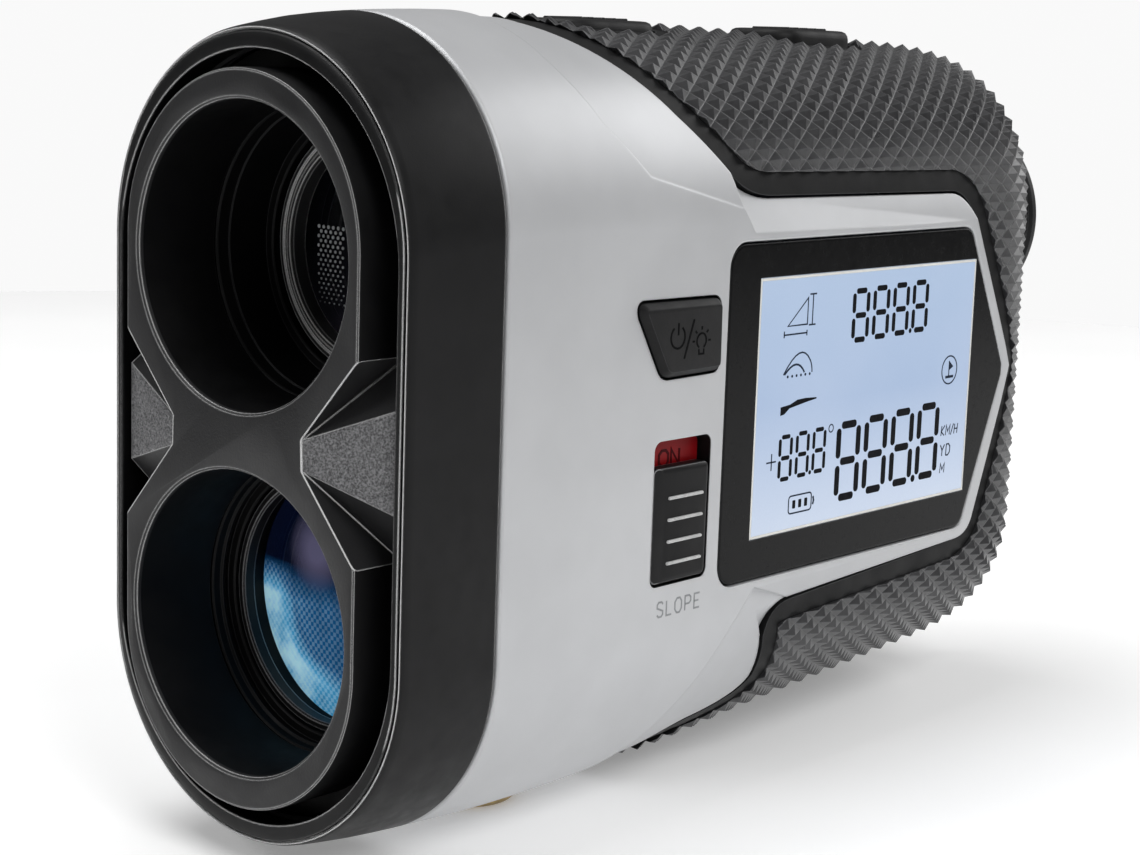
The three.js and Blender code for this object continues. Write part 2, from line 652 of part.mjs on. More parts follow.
function tripodInsert() {
  const outer = cylinder('z', 5.5, BASE, -33.4, [0, TRIPOD_Y], 28);
  return cut(outer, cylinder('z', TRIPOD_HOLE, BASE - 1, -34.6, [0, TRIPOD_Y], 20));
}

// ---------------------------------------------------------------- electronics

function laserModule() {
  const can = cylinder('y', 4.2, 60, 74, [0, -1.2], 20);
  return cut(can, cylinder('y', 2.4, 59, 62, [0, -1.2], 16));
}

function receiverModule() {
  const can = cylinder('y', 6, 46, 52.5, [0, LOWER.z], 24);
  return cut(can, cylinder('y', 3.6, 45, 48, [0, LOWER.z], 16));
}

function batteryCradle() {
  const block = box(-10.2, 10.2, 58.5, 97.2, -28.6, -20);
  return cut(block, cylinder('y', 9.5, 59.9, 95.9, [0, -20], 20), box(-7, 7, 50, 110, -26.4, -19));
}

// ---------------------------------------------------------------- materials

function material(color, roughness, metalness = 0) {
  return new THREE.MeshStandardMaterial({ color, roughness, metalness });
}

const SILVER = () => material(0xb9bbbd, 0.38, 0.55);
const BLACK_PLASTIC = () => material(0x202124, 0.5);
const DARK_PLATE = () => material(0x3a3b3e, 0.6);
const RUBBER = () => material(0x3c3d3f, 0.85);
const GLOSS_BLACK = () => material(0x0b0b0d, 0.12);
const GLASS = () => material(0x9fb6c6, 0.05);
const BLUE_GLASS = () => material(0x2f74b8, 0.05);
const RED = () => material(0x8c1218, 0.45);
const BOARD = () => material(0x1d5a36, 0.6);
const STEEL = () => material(0x9a9c9f, 0.35, 0.9);
const BRASS = () => material(0xb08d4a, 0.35, 0.9);
const LCD_BLUE = () => material(0xaec5e4, 0.3);
const WHITE = () => material(0xe6e6e2, 0.5);
const CELL_WRAP = () => material(0x2b62a8, 0.4);

// ---------------------------------------------------------------- assembly

const assembly = new THREE.Group();
assembly.position.set(0, -(FRONT + REAR) / 2, -BASE);
assembly.updateMatrixWorld(true);

function place(name, body, finish) {
  const mesh = new THREE.Mesh(geometryOf(body), finish);
  mesh.name = name;
  assembly.add(mesh);
}

place('front_shroud', frontShroud(), BLACK_PLASTIC());
place('objective_plate', objectivePlate(), DARK_PLATE());
place('front_seal', frontSeal(), RUBBER());
place('left_housing', leftHousing(), SILVER());
place('right_housing', rightHousing(), SILVER());
place('grip_sleeve', gripSleeve(), RUBBER());
place('tripod_insert', tripodInsert(), BRASS());
place('lanyard_loop', lanyardLoop(), STEEL());

place('upper_barrel', upperBarrel(), BLACK_PLASTIC());
place('upper_retaining_ring', turned(ringProfile(12.1, 10.4, 14.2, 16.2), UPPER.z), BLACK_PLASTIC());
place('objective_lens_front', lens(12.1, 1.2, 17.8, 19.8, 0.9, UPPER.z), GLASS());
place('objective_lens_rear', lens(12.1, -0.9, 20.1, 23.4, 0.2, UPPER.z), GLASS());
place('lower_barrel', lowerBarrel(), BLACK_PLASTIC());
place('lower_retaining_ring', turned(ringProfile(12.8, 11.9, 9.9, 11.3), LOWER.z), BLACK_PLASTIC());
place('receiver_lens', lens(12.7, 1.6, 13.2, 15.4, 1.4, LOWER.z), BLUE_GLASS());
place('prism_front', frontPrism(), GLASS());
place('prism_rear', rearPrism(), GLASS());
place('prism_cradle', prismCradle(), BLACK_PLASTIC());
place('inview_display', cylinder('y', 10, 86.5, 88, [0, UPPER.z]), GLASS());
place('field_lens', lens(8.5, 1.2, 105.4, 107.6, 1.2, UPPER.z, 24), GLASS());
place('eye_lens', lens(8.5, 1.1, 113.1, 114.6, 0.3, UPPER.z, 24), GLASS());
place('focus_cell', focusCell(), BLACK_PLASTIC());
place('eyepiece_barrel', eyepieceBarrel(), BLACK_PLASTIC());
place('diopter_ring', diopterRing(), BLACK_PLASTIC());
place('eyecup', eyecup(), RUBBER());

for (const [name, y] of Object.entries(TOP_BUTTONS)) {
  place(name, topButton(y), RUBBER());
}
place('power_button', powerButton(), RUBBER());
place('slope_knob', slopeKnob(), BLACK_PLASTIC());
place('slope_bed', slopeBed(), RED());
place('measure_switch', rectPrism(3, 42.5, 48.5, 34.75, 0.65), BLACK_PLASTIC());
place('mode_switch', rectPrism(3, 79, 85, 34.75, 0.65), BLACK_PLASTIC());
place('power_switch', box(14.2, 15.5, 36.5, 42.5, 6.3, 12.3), BLACK_PLASTIC());
place('slide_switch', box(14.2, 15.1, 36.8, 41.4, -13.5, -4.5), STEEL());
place('top_switch_board', rectPrism(5.4, 38, 96, 33.4, 0.4), BOARD());

place('lcd_bezel', lcdBezel(), GLOSS_BLACK());
place('lcd_glass', lcdOpening(-0.15, 17.6, LCD_FACE - 0.25), LCD_BLUE());
place('lcd_backlight', lcdOpening(-0.5, 15.6, 17.3), WHITE());
place('lcd_connector', box(14.2, 15.3, 54, 93, 11.2, 13.2), material(0x55575a, 0.8));
place('lcd_board', box(12.9, 13.9, 35.6, 99, -16, 16), BOARD());
place('main_board', box(-14, -12.9, 45, 99, -23.4, 20), BOARD());
place('laser_module', laserModule(), STEEL());
place('receiver_module', receiverModule(), STEEL());
place('receiver_board', rectPrism(9.5, 52.8, 54, LOWER.z, 10), BOARD());
place('battery', cylinder('y', 9.2, 60.5, 95.4, [0, -20], 20), CELL_WRAP());
place('battery_cradle', batteryCradle(), BLACK_PLASTIC());
place('port_socket', portSocket(), STEEL());
place('port_cover', portCover(), RUBBER());
SCREWS.forEach((screw, index) => place(`housing_screw_${index + 1}`, housingScrew(screw), STEEL()));

export default assembly;
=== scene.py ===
"""Looks of a handheld laser range and speed finder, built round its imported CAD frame.

Every piece is built in the part's own datum (millimetres, front rim at y = 0, mid-height at z = 0)
and moved into the row frame, in metres, when it is finished.
"""

import json
import math

import bmesh
import bpy
import numpy as np
from mathutils import Matrix, Vector


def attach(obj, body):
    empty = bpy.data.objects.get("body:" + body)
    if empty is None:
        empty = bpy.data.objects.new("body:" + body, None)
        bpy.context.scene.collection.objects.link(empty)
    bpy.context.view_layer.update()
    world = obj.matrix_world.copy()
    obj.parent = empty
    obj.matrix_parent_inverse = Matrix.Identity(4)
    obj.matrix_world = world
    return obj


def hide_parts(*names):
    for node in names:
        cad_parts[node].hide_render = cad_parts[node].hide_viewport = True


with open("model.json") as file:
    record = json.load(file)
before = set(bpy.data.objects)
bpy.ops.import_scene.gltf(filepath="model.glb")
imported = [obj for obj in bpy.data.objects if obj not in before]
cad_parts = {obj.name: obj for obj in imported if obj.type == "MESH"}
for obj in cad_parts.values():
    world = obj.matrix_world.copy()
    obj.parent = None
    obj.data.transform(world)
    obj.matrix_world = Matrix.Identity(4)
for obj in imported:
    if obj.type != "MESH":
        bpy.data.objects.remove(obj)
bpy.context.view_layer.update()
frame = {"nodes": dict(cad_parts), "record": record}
scene = bpy.context.scene

# -------- sizes, in millimetres

DATUM_SHIFT = np.array([0, -59.25, 40.2])  # from the datum to the row frame
FRONT, REAR, BASE = -1.75, 120.25, -40.2  # the plate's face, the eyecup's end, the ground
X, Y, Z = 0, 1, 2

# the housing skin: distance from the front rim, half width, top and bottom
SKIN = np.array([
    [0, 19.9, 38.0, -38.0],
    [6, 20.1, 39.1, -38.8],
    [12, 20.2, 39.7, -39.3],
    [20, 20.3, 40.1, -39.8],
    [30, 20.3, 40.2, -40.0],
    [40, 20.3, 40.1, -39.8],
    [52, 20.3, 39.9, -39.2],
    [65, 20.3, 39.6, -38.3],
    [80, 20.3, 39.4, -37.6],
    [100, 20.1, 38.9, -36.6],
])
BODY_END, ROUND_START, ROUND_DEPTH, TOP_SHARE = 112.6, 100.0, 8.5, 0.25  # the rounded rear end
ARC_STEPS = 64  # on each half circle of the skin
SHROUD_END = 12.2
SEAM = 0.15  # from the middle plane to each shell
GAP = 0.3  # between the shells and their neighbours
GRIP_DROP, GRIP_WALL = 0.6, 1.5  # the grip's base under the skin, and its wall
SHELL_WALL = 2.2  # from the skin inwards
UPPER_Z, UPPER_R = 17.33, 14.11  # the aiming lens's axis and its hole in the plate
LOWER_Z, LOWER_R = -16.67, 14.35  # the same for the receiver lens
PLATE_R, PLATE_Z = 15.85, 18.45  # the plate's round ends
RAMP_IN, RAMP_OUT = 8.85, 18.3  # the inner and outer end of the plate's side ramps
LCD_FACE = 20.2
LCD = (50.8, 93.3, -13.0, 14.4)  # the display's limits in y and z
TOP_BUTTONS = {"measure_button": 45.5, "mode_button": 82.0}
TRIPOD_Y, PORT_Z = 30, -10
PLAIN_SHIFT, FACET_SHIFT, SWEEP_SHIFT = (0, 0), (0, -0.5), (-0.9, 0)  # the skin, moved in x and z

# -------- material nodes

MATERIALS = {}
WHITE, BLACK = (1, 1, 1, 1), (0, 0, 0, 1)


def linear(red, green, blue):
    """A colour given in 0-255 display values, as linear light."""
    values = [v / 255 for v in (red, green, blue)]
    return tuple(v / 12.92 if v < 0.04045 else ((v + 0.055) / 1.055) ** 2.4 for v in values) + (1,)


def grey(value, cool=1):
    """A grey in display values, with a little more blue than red."""
    return linear(value, value, value + cool)


class Shader:
    """A Principled material, kept in MATERIALS under its name. Sizes and depths are in millimetres."""

    def __init__(self, name, color, roughness, metallic=0.0, **sockets):
        self.mat = bpy.data.materials.new(name)
        self.mat.use_nodes = True
        self.tree = self.mat.node_tree
        self.bsdf = self.tree.nodes["Principled BSDF"]
        sockets.update(Base_Color=color, Roughness=roughness, Metallic=metallic)
        for key, value in sockets.items():
            self.bsdf.inputs[key.replace("_", " ")].default_value = value
        self.place = self.add("ShaderNodeTexCoord")["Object"]
        MATERIALS[name] = self.mat

    def feed(self, socket, value):
        """Links a node's output to the socket, or sets a plain value on it."""
        if isinstance(value, bpy.types.NodeSocket):
            self.tree.links.new(value, socket)
        else:
            socket.default_value = value

    def add(self, kind, inputs=None, **settings):
        """The outputs of a new node with these inputs and settings."""
        node = self.tree.nodes.new(kind)
        for key, value in settings.items():
            setattr(node, key, value)
        for key, value in (inputs or {}).items():
            self.feed(node.inputs[key], value)
        return node.outputs

    def noise(self, size, detail=3.0, roughness=0.55, stretch=None):
        place = self.place
        if stretch:
            place = self.add("ShaderNodeMapping", {"Scale": stretch, "Vector": place})["Vector"]
        inputs = {"Scale": 1000 / size, "Detail": detail, "Roughness": roughness, "Vector": place}
        return self.add("ShaderNodeTexNoise", inputs)["Fac"]

    def ramp(self, factor, low=0.0, high=1.0, value_low=0.0, value_high=1.0):
        inputs = {"Value": factor, "From Min": low, "From Max": high, "To Min": value_low,
                  "To Max": value_high}
        return self.add("ShaderNodeMapRange", inputs)["Result"]

    def mix(self, factor, first, second):
        return self.add("ShaderNodeMix", {"Factor": factor, 6: first, 7: second}, data_type="RGBA")[2]

    def operate(self, operation, *values):
        return self.add("ShaderNodeMath", dict(enumerate(values)), operation=operation)["Value"]

    def measure(self, operation, *vectors):
        return self.add("ShaderNodeVectorMath", dict(enumerate(vectors)), operation=operation)["Value"]

    def parts(self, vector):
        return self.add("ShaderNodeSeparateXYZ", {0: vector})

    def gradient(self, factor, *stops):
        """A colour that runs through (position, colour) stops."""
        node = self.tree.nodes.new("ShaderNodeValToRGB")
        elements = node.color_ramp.elements
        for element, (position, color) in zip(elements, (stops[0], stops[-1])):
            element.position = position
            element.color = color
        for position, color in stops[1:-1]:
            elements.new(position).color = color
        self.feed(node.inputs["Fac"], factor)
        return node.outputs["Color"]

    def edge(self, radius, start=0.995, full=0.9):
        """(rounded normal, mask that is 1 on an edge of that radius)."""
        normal = self.add("ShaderNodeBevel", {"Radius": radius / 1000}, samples=6)["Normal"]
        plain = self.add("ShaderNodeNewGeometry")["Normal"]
        return normal, self.ramp(self.measure("DOT_PRODUCT", normal, plain), start, full)

    def color(self, value):
        self.feed(self.bsdf.inputs["Base Color"], value)

    def glow(self, value, strength):
        self.feed(self.bsdf.inputs["Emission Color"], value)
        self.bsdf.inputs["Emission Strength"].default_value = strength

    def rough(self, factor, low, high):
        self.feed(self.bsdf.inputs["Roughness"], self.ramp(factor, 0.3, 0.7, low, high))

    def bump(self, height, depth, strength, normal=None):
        inputs = {"Strength": strength, "Distance": depth / 1000, "Height": height}
        if normal is not None:
            inputs["Normal"] = normal
        self.feed(self.bsdf.inputs["Normal"], self.add("ShaderNodeBump", inputs)["Normal"])


def surface(name, color, roughness, edge, tint, tones, worn_and_lit, sheen, relief, metallic=0.0, **sockets):
    """A finish with uneven tones, edges lightened by rubbing and by a painted highlight, uneven sheen and
    fine relief.

    edge holds the arguments of Shader.edge. tint is (noise, low, high) and spreads the two tones.
    worn_and_lit is (colour, share) on the edges: rubbing, and a painted highlight along them. sheen is
    (noise, least, most) roughness. relief is (noise, depth, strength). Each noise holds the arguments of
    Shader.noise.
    """
    s = Shader(name, color, roughness, metallic, **sockets)
    normal, worn_and_lit_edges = s.edge(*edge)
    base = s.mix(s.ramp(s.noise(*tint[0]), *tint[1:]), *tones)
    # the edges go lighter: partly rubbing, partly a painted highlight
    s.color(s.mix(s.ramp(worn_and_lit_edges, 0, 1, 0, worn_and_lit[1]), base, worn_and_lit[0]))
    s.rough(s.noise(*sheen[0]), *sheen[1:])
    s.bump(s.noise(*relief[0]), *relief[1:], normal)


def moulded(name, dark, light, roughness, grain, depth, edge=0.18, worn_and_lit=None, gloss=0.5, wear_and_highlight=0.55):
    """Fine-grained moulded plastic, spark-eroded."""
    surface(name, dark, roughness, edge=(edge,), tint=((9, 3), 0.35, 0.65), tones=(dark, light),
            worn_and_lit=(worn_and_lit or light, wear_and_highlight), sheen=((2.2, 4), roughness - 0.06, roughness + 0.06),
            relief=((grain, 4, 0.65), depth, 0.7), Specular_IOR_Level=gloss)


def rubber(name, dark, light, roughness, gloss):
    surface(name, dark, roughness, edge=(0.15,), tint=((1.4, 5, 0.7), 0.35, 0.7), tones=(dark, light),
            worn_and_lit=(linear(120, 121, 123), 0.35), sheen=((4, 4), roughness - 0.07, roughness + 0.08),
            relief=((0.18, 4, 0.6), 0.02, 0.6), Sheen_Weight=0.02, Sheen_Roughness=0.6,
            Specular_IOR_Level=gloss)


def metal(name, color, worn_and_lit, roughness):
    """Metal with fine lines along Y."""
    lines = (0.3, 3, 0.6, (1, 0.08, 1))
    surface(name, color, roughness, edge=(0.12,), tint=(lines, 0.35, 0.65), tones=(color, worn_and_lit),
            worn_and_lit=(worn_and_lit, 0.5), sheen=(lines, roughness - 0.08, roughness + 0.1),
            relief=(lines, 0.004, 0.5), metallic=0.95)


def ink(name, color, roughness):
    s = Shader(name, color, roughness, Specular_IOR_Level=0.05)
    lighter = tuple(min(1, c * 1.25 + 0.004) for c in color[:3]) + (1,)
    s.color(s.mix(s.ramp(s.noise(0.5, 3), 0.35, 0.65), color, lighter))
    s.rough(s.noise(0.3, 3), roughness - 0.05, roughness + 0.08)
    s.bump(s.noise(0.2, 2), 0.002, 0.4)


def lcd_surface():
    """Liquid crystal: pale blue with a faint pixel weave, and a painted glow that is lighter towards its
    lower edge.
    """
    s = Shader("lcd", linear(176, 198, 228), 0.3, Coat_Weight=0.05, Coat_Roughness=0.1,
               Specular_IOR_Level=0.2)
    height = s.ramp(s.parts(s.place)["Z"], (LCD[2] - BASE) / 1000, (LCD[3] - BASE) / 1000)
    blue = s.gradient(height, (0.02, linear(212, 224, 243)), (0.5, linear(174, 195, 226)),
                      (1, linear(183, 204, 232)))
    soft = s.mix(s.ramp(s.noise(16, 2), 0.3, 0.7, 0, 0.35), blue, linear(196, 211, 236))
    pixels = s.add("ShaderNodeTexVoronoi", {"Scale": 1000 / 0.22, "Vector": s.place})["Distance"]
    final = s.mix(s.ramp(pixels, 0, 0.5, 0, 0.06), soft, linear(120, 140, 175))
    # painted light: the base colour is darkened and the display glows, lighter towards its lower edge
    s.color(s.mix(0.75, final, BLACK))
    s.glow(final, 0.7)
    s.bump(s.noise(5, 2), 0.002, 0.3)


def aiming_coat():
    """A coated lens under a clear polished coat, with a painted reflection: its colour brightens towards one
    lower side, with a faint painted glow.
    """
    dark, reach, middle = linear(9, 10, 13), 12, UPPER_Z - BASE
    s = Shader("optical_glass", dark, 0.08, 0.25, Coat_Weight=1.0, Coat_Roughness=0.02, IOR=1.6)
    place = s.parts(s.place)
    across = s.ramp(place["X"], -reach / 1000, reach / 1000)
    down = s.ramp(place["Z"], (middle + reach) / 1000, (middle - reach) / 1000)
    share = s.operate("MULTIPLY_ADD", across, 0.45, s.operate("MULTIPLY", down, 0.65))
    painted_reflection = s.operate("MULTIPLY_ADD", s.noise(7, 2), 0.14, share)
    color = s.gradient(painted_reflection, (0.42, dark), (0.66, linear(24, 24, 30)), (0.86, linear(56, 50, 62)))
    # painted reflection: brighter towards one lower side, in the colour and a faint glow
    s.color(color)
    s.glow(color, 0.18)
    s.rough(s.noise(1.5, 4), 0.05, 0.14)


def receiver_coat():
    """The receiver's coated lens, navy above, with painted reflections and a painted glow: a cyan crescent
    low on one side, a pale patch and a fine dotted reflection.
    """
    s = Shader("blue_coated_glass", linear(7, 14, 38), 0.08, Coat_Weight=1.0, Coat_Roughness=0.02, IOR=1.6)
    from_axis = {"Scale": (1000, 0, 1000), "Location": (0, 0, BASE - LOWER_Z), "Vector": s.place}
    place = s.add("ShaderNodeMapping", from_axis)["Vector"]
    parts = s.parts(place)
    light = s.ramp(parts["Z"], 2.4, -1.2)
    for share in (
        s.ramp(s.noise(3.5, 3), 0.3, 0.7, 0.72, 1.1),
        s.ramp(s.measure("LENGTH", place), 7.2, 9.6, 0.42, 1),
        s.ramp(parts["X"], 5, -7, 0.35, 1),
    ):
        light = s.operate("MULTIPLY", light, share)
    blue = s.gradient(light, (0, linear(6, 12, 32)), (0.35, linear(22, 84, 134)),
                      (0.72, linear(72, 158, 206)), (1, linear(176, 226, 246)))
    # painted reflections: the cyan crescent, a pale patch and the dotted grid
    patch = s.ramp(s.measure("DISTANCE", place, (-3.6, 0, 4.4)), 4.4, 1.2, 0, 0.55)
    reflected_patch = s.mix(patch, blue, linear(112, 108, 140))
    grid = s.add("ShaderNodeTexChecker", {"Scale": 2.4, "Vector": place})["Fac"]
    dotted = s.operate("MULTIPLY", grid, s.ramp(light, 0.1, 0.5, 0, 0.3))
    final = s.mix(dotted, reflected_patch, linear(190, 226, 240))
    s.color(final)
    s.glow(final, 0.55)
    s.rough(s.noise(1.5, 4), 0.05, 0.14)


def circuit_board():
    green = linear(24, 78, 50)
    s = Shader("circuit_board", green, 0.45)
    traces = s.add("ShaderNodeTexBrick", {"Scale": 400, "Vector": s.place})["Fac"]
    s.color(s.mix(s.ramp(traces), green, linear(60, 120, 80)))
    s.rough(s.noise(1, 3), 0.35, 0.5)
    s.bump(traces, 0.02, 0.4)


flake, sand = (0.12, 2), (0.22, 2, 0.6)
surface("silver_paint", linear(176, 177, 179), 0.42, edge=(0.35, 0.93, 0.75), tint=((14, 3), 0.35, 0.65),
        tones=(linear(190, 191, 193), linear(197, 198, 200)), worn_and_lit=(linear(222, 223, 225), 0.7),
        sheen=(flake, 0.38, 0.48), relief=(flake, 0.004, 0.5), metallic=0.35, Coat_Weight=0.08,
        Coat_Roughness=0.3)
# ramp_grit's light and dark grains are painted light and shade of the sand grains
surface("ramp_grit", grey(96, 2), 0.5, edge=(0.2,), tint=(sand, 0.36, 0.68), tones=(grey(68), grey(132, 2)),
        worn_and_lit=(grey(215, 0), 0.5), sheen=((1.1, 3), 0.45, 0.6), relief=(sand, 0.12, 0.8),
        Specular_IOR_Level=0.3)
surface("gloss_black", grey(9), 0.3, edge=(0.12,), tint=((7, 4, 0.6), 0.35, 0.65), tones=(grey(6), grey(10)),
        worn_and_lit=(linear(95, 96, 98), 0.5), sheen=((1.1, 5, 0.7), 0.2, 0.3), relief=((0.5, 3), 0.001, 0.3),
        Coat_Weight=0.03, Coat_Roughness=0.2, Specular_IOR_Level=0.1)
# rim_black, black_plastic and dark_plate turn white or near white along their edges: a painted highlight
moulded("rim_black", grey(12), grey(18), 0.45, 0.16, 0.012, 0.24, WHITE, 0.2, 1.0)
moulded("black_plastic", grey(12), grey(18), 0.45, 0.16, 0.012, 0.22, grey(190, 2), 0.2, 0.9)
moulded("dark_plate", grey(30), grey(38), 0.42, 0.24, 0.04, 0.26, WHITE, 0.3, 1.0)
# A blacker plastic for deep walls and bores, where shade falls: painted shade.
moulded("bore_black", grey(5), grey(9), 0.5, 0.3, 0.006, 0.15, grey(70, 2), 0.15)
# A near-white strip for the display's edge: a painted highlight.
moulded("backlight", grey(222, -4), grey(236, -4), 0.5, 0.4, 0.01)
moulded("red_plastic", linear(110, 6, 12), linear(136, 12, 18), 0.4, 0.3, 0.006, 0.1, None, 0.15)
moulded("cell_wrap", linear(40, 92, 160), linear(52, 106, 176), 0.35, 0.6, 0.01)
rubber("grip_rubber", grey(34, 2), grey(54, 2), 0.34, 0.75)
rubber("grip_band", grey(9), grey(15), 0.55, 0.15)
rubber("button_rubber", grey(14), grey(22), 0.5, 0.2)
metal("steel", linear(150, 152, 155), linear(200, 201, 203), 0.32)
metal("brass", linear(140, 118, 78), linear(190, 168, 120), 0.38)
ink("segment_ink", linear(4, 6, 12), 0.5)
ink("icon_ink", linear(30, 40, 56), 0.5)
ink("dark_ink", grey(3), 0.6)
ink("red_ink", linear(62, 6, 10), 0.4)
ink("line_paint", grey(190, 0), 0.45)
ink("faint_ink", linear(136, 138, 140), 0.4)
# pale dots on the aiming lens: a painted reflection
ink("painted_dot_reflection", linear(196, 198, 200), 0.4)
lcd_surface()
aiming_coat()
receiver_coat()
circuit_board()

# -------- mesh helpers, in the datum


def to_object(shape, name="work"):
    """A datum-space object from (vertices, faces), with its faces pointing out."""
    vertices, faces = shape
    mesh = bpy.data.meshes.new(name)
    mesh.from_pydata([tuple(map(float, v)) for v in vertices], [], faces)
    work = bmesh.new()
    work.from_mesh(mesh)
    bmesh.ops.remove_doubles(work, verts=work.verts, dist=1e-4)
    bmesh.ops.recalc_face_normals(work, faces=work.faces)
    work.to_mesh(mesh)
    work.free()
    item = bpy.data.objects.new(name, mesh)
    scene.collection.objects.link(item)
    return item


def discard(item):
    mesh = item.data
    bpy.data.objects.remove(item)
    bpy.data.meshes.remove(mesh)


def combine(target, tools, operation):
    """Applies booleans to target with each tool in turn, and throws the tools away."""
    for tool in tools:
        if not isinstance(tool, bpy.types.Object):
            tool = to_object(tool)
        modifier = target.modifiers.new("boolean", "BOOLEAN")
        modifier.object = tool
        modifier.operation = operation
        for solver in ("MANIFOLD", "EXACT"):
            modifier.solver = solver
            bpy.context.view_layer.update()
            graph = bpy.context.evaluated_depsgraph_get()
            result = bpy.data.meshes.new_from_object(target.evaluated_get(graph))
            if result.polygons:
                break
        target.modifiers.clear()
        old = target.data
        target.data = result
        bpy.data.meshes.remove(old)
        discard(tool)
    return target


def cut(target, *tools):
    return combine(target, tools, "DIFFERENCE")


def keep(target, *tools):
    return combine(target, tools, "INTERSECT")


def join(target, *tools):
    return combine(target, tools, "UNION")


def merge(*shapes):
    """Several shapes as one list of vertices and faces, left as separate islands."""
    vertices, faces = [], []
    for points, polygons in shapes:
        start = len(vertices)
        vertices.extend(points)
        faces.extend([tuple(i + start for i in face) for face in polygons])
    return vertices, faces


def stack(rings, cyclic=False):
    """A closed shape through rings of equal length: capped, or joined end to end when cyclic."""
    count = len(rings[0])
    vertices = [point for ring in rings for point in ring]
    faces = []
    for i in range(len(rings) if cyclic else len(rings) - 1):
        a, b = i * count, ((i + 1) % len(rings)) * count
        for j in range(count):
            k = (j + 1) % count
            faces.append((a + j, a + k, b + k, b + j))
    if not cyclic:
        faces.append(tuple(reversed(range(count))))
        faces.append(tuple(range((len(rings) - 1) * count, len(rings) * count)))
    return vertices, faces


def lathe(profile, z, steps=128, cyclic=True):
    """A body turned about a line along Y, from (radius, y) points."""
    rings = []
    angles = [2 * math.pi * i / steps for i in range(steps)]
    for radius, y in profile:
        r = max(radius, 1e-3)
        rings.append([(r * math.cos(a), y, z + r * math.sin(a)) for a in angles])
    return stack(rings, cyclic=cyclic)


def box(x0, x1, y0, y1, z0, z1):
    low = [(x0, y0, z0), (x1, y0, z0), (x1, y1, z0), (x0, y1, z0)]
    high = [(x, y, z1) for x, y, _ in low]
    return stack([low, high])


def hull(points):
    work = bmesh.new()
    for point in points:
        work.verts.new(point)
    found = bmesh.ops.convex_hull(work, input=work.verts)
    spare = [v for v in found["geom_interior"] if isinstance(v, bmesh.types.BMVert)]
    bmesh.ops.delete(work, geom=spare, context="VERTS")
    work.verts.index_update()
    shape = ([tuple(v.co) for v in work.verts], [tuple(v.index for v in f.verts) for f in work.faces])
    work.free()
    return shape


def arc(centre, radius, start, end, steps=8):
    """Points on an arc, angles in degrees."""
    angles = np.radians(np.linspace(start, end, steps + 1))
    return [(centre[0] + radius * math.cos(a), centre[1] + radius * math.sin(a)) for a in angles]


def circle(centre, radius, steps):
    return arc(centre, radius, 0, 360, steps)[:-1]


def curve_path(*parts):
    """An outline from points and (control, end) pairs."""
    points = [parts[0]]
    for part in parts[1:]:
        if isinstance(part[0], tuple):
            start, (control, end) = points[-1], part
            for t in np.linspace(0, 1, 9)[1:]:
                points.append(tuple(
                    (1 - t) ** 2 * start[i] + 2 * t * (1 - t) * control[i] + t * t * end[i] for i in range(2)
                ))
        else:
            points.append(part)
    return points


def unit(rows):
    """Each row scaled to length 1."""
    return rows / np.maximum(np.linalg.norm(rows, axis=1, keepdims=True), 1e-9)


def offset(outline, distance):
    """The outline moved outwards by a small distance (inwards when negative)."""
    points = np.array(outline, float)
    before, after = np.roll(points, 1, axis=0), np.roll(points, -1, axis=0)
    area = np.sum(points[:, 0] * after[:, 1] - after[:, 0] * points[:, 1])
    turn = 1 if area > 0 else -1

    def side(a, b):
        d = b - a
        return unit(np.stack([d[:, 1], -d[:, 0]], 1) * turn)

    first, second = side(before, points), side(points, after)
    middle = unit(first + second)
    scale = 1 / np.maximum(np.sum(middle * first, axis=1, keepdims=True), 0.4)
    return [tuple(p) for p in points + middle * distance * scale]


def rounded(x0, x1, y0, y1, radius, steps=8):
    """A rectangle with round corners."""
    left, right, low, high = x0 + radius, x1 - radius, y0 + radius, y1 - radius
    outline = []
    for centre, start in (((right, low), -90), ((right, high), 0), ((left, high), 90), ((left, low), 180)):
        outline += arc(centre, radius, start, start + 90, steps)
    return outline


def slab(axis, outline, levels):
    """A solid through (place, offset) levels along one axis; the outline holds the other two coordinates.

    A flat ring inside each rounded end keeps that face's shading flat.
    """
    levels = list(levels)
    if levels[0][1] != levels[1][1]:
        levels.insert(0, (levels[0][0], levels[0][1] - 0.12))
    if levels[-1][1] != levels[-2][1]:
        levels.append((levels[-1][0], levels[-1][1] - 0.12))
    return stack([[(*p[:axis], at, *p[axis:]) for p in offset(outline, grow)] for at, grow in levels])


def prism(axis, outline, low, high, grow=0):
    return slab(axis, outline, [(low, grow), (high, grow)])


def stroke(points, width, span, closed=False):
    """A flat line of constant width through (y, z) points, over a span of x."""
    p = np.array(points, float)
    if closed:
        ahead, behind = np.roll(p, -1, axis=0), np.roll(p, 1, axis=0)
    else:
        ahead = np.vstack([p[1:], 2 * p[-1:] - p[-2:-1]])
        behind = np.vstack([2 * p[:1] - p[1:2], p[:-1]])
    before, after = (unit(np.stack([-d[:, 1], d[:, 0]], 1)) for d in (p - behind, ahead - p))
    n = unit(before + after)
    n *= (width / 2) / np.maximum(np.sum(n * before, axis=1, keepdims=True), 0.5)
    rings = []
    for q, m in zip(p, n):
        a, b = q + m, q - m
        rings.append([(span[0], *a), (span[0], *b), (span[1], *b), (span[1], *a)])
    return stack(rings, cyclic=closed)


def tube(path, radius, steps=16):
    """A round wire along a path in the plane x = 0, given as (y, z) points."""
    rings = []
    for (y, z), (ty, tz) in zip(path, unit(np.gradient(np.array(path, float), axis=0))):
        ring = []
        for i in range(steps):
            a = 2 * math.pi * i / steps
            side = radius * math.cos(a)
            ring.append((radius * math.sin(a), y - tz * side, z + ty * side))
        rings.append(ring)
    return stack(rings)


# -------- the housing skin

SLOPES = np.gradient(SKIN[:, 1:], SKIN[:, 0], axis=0)


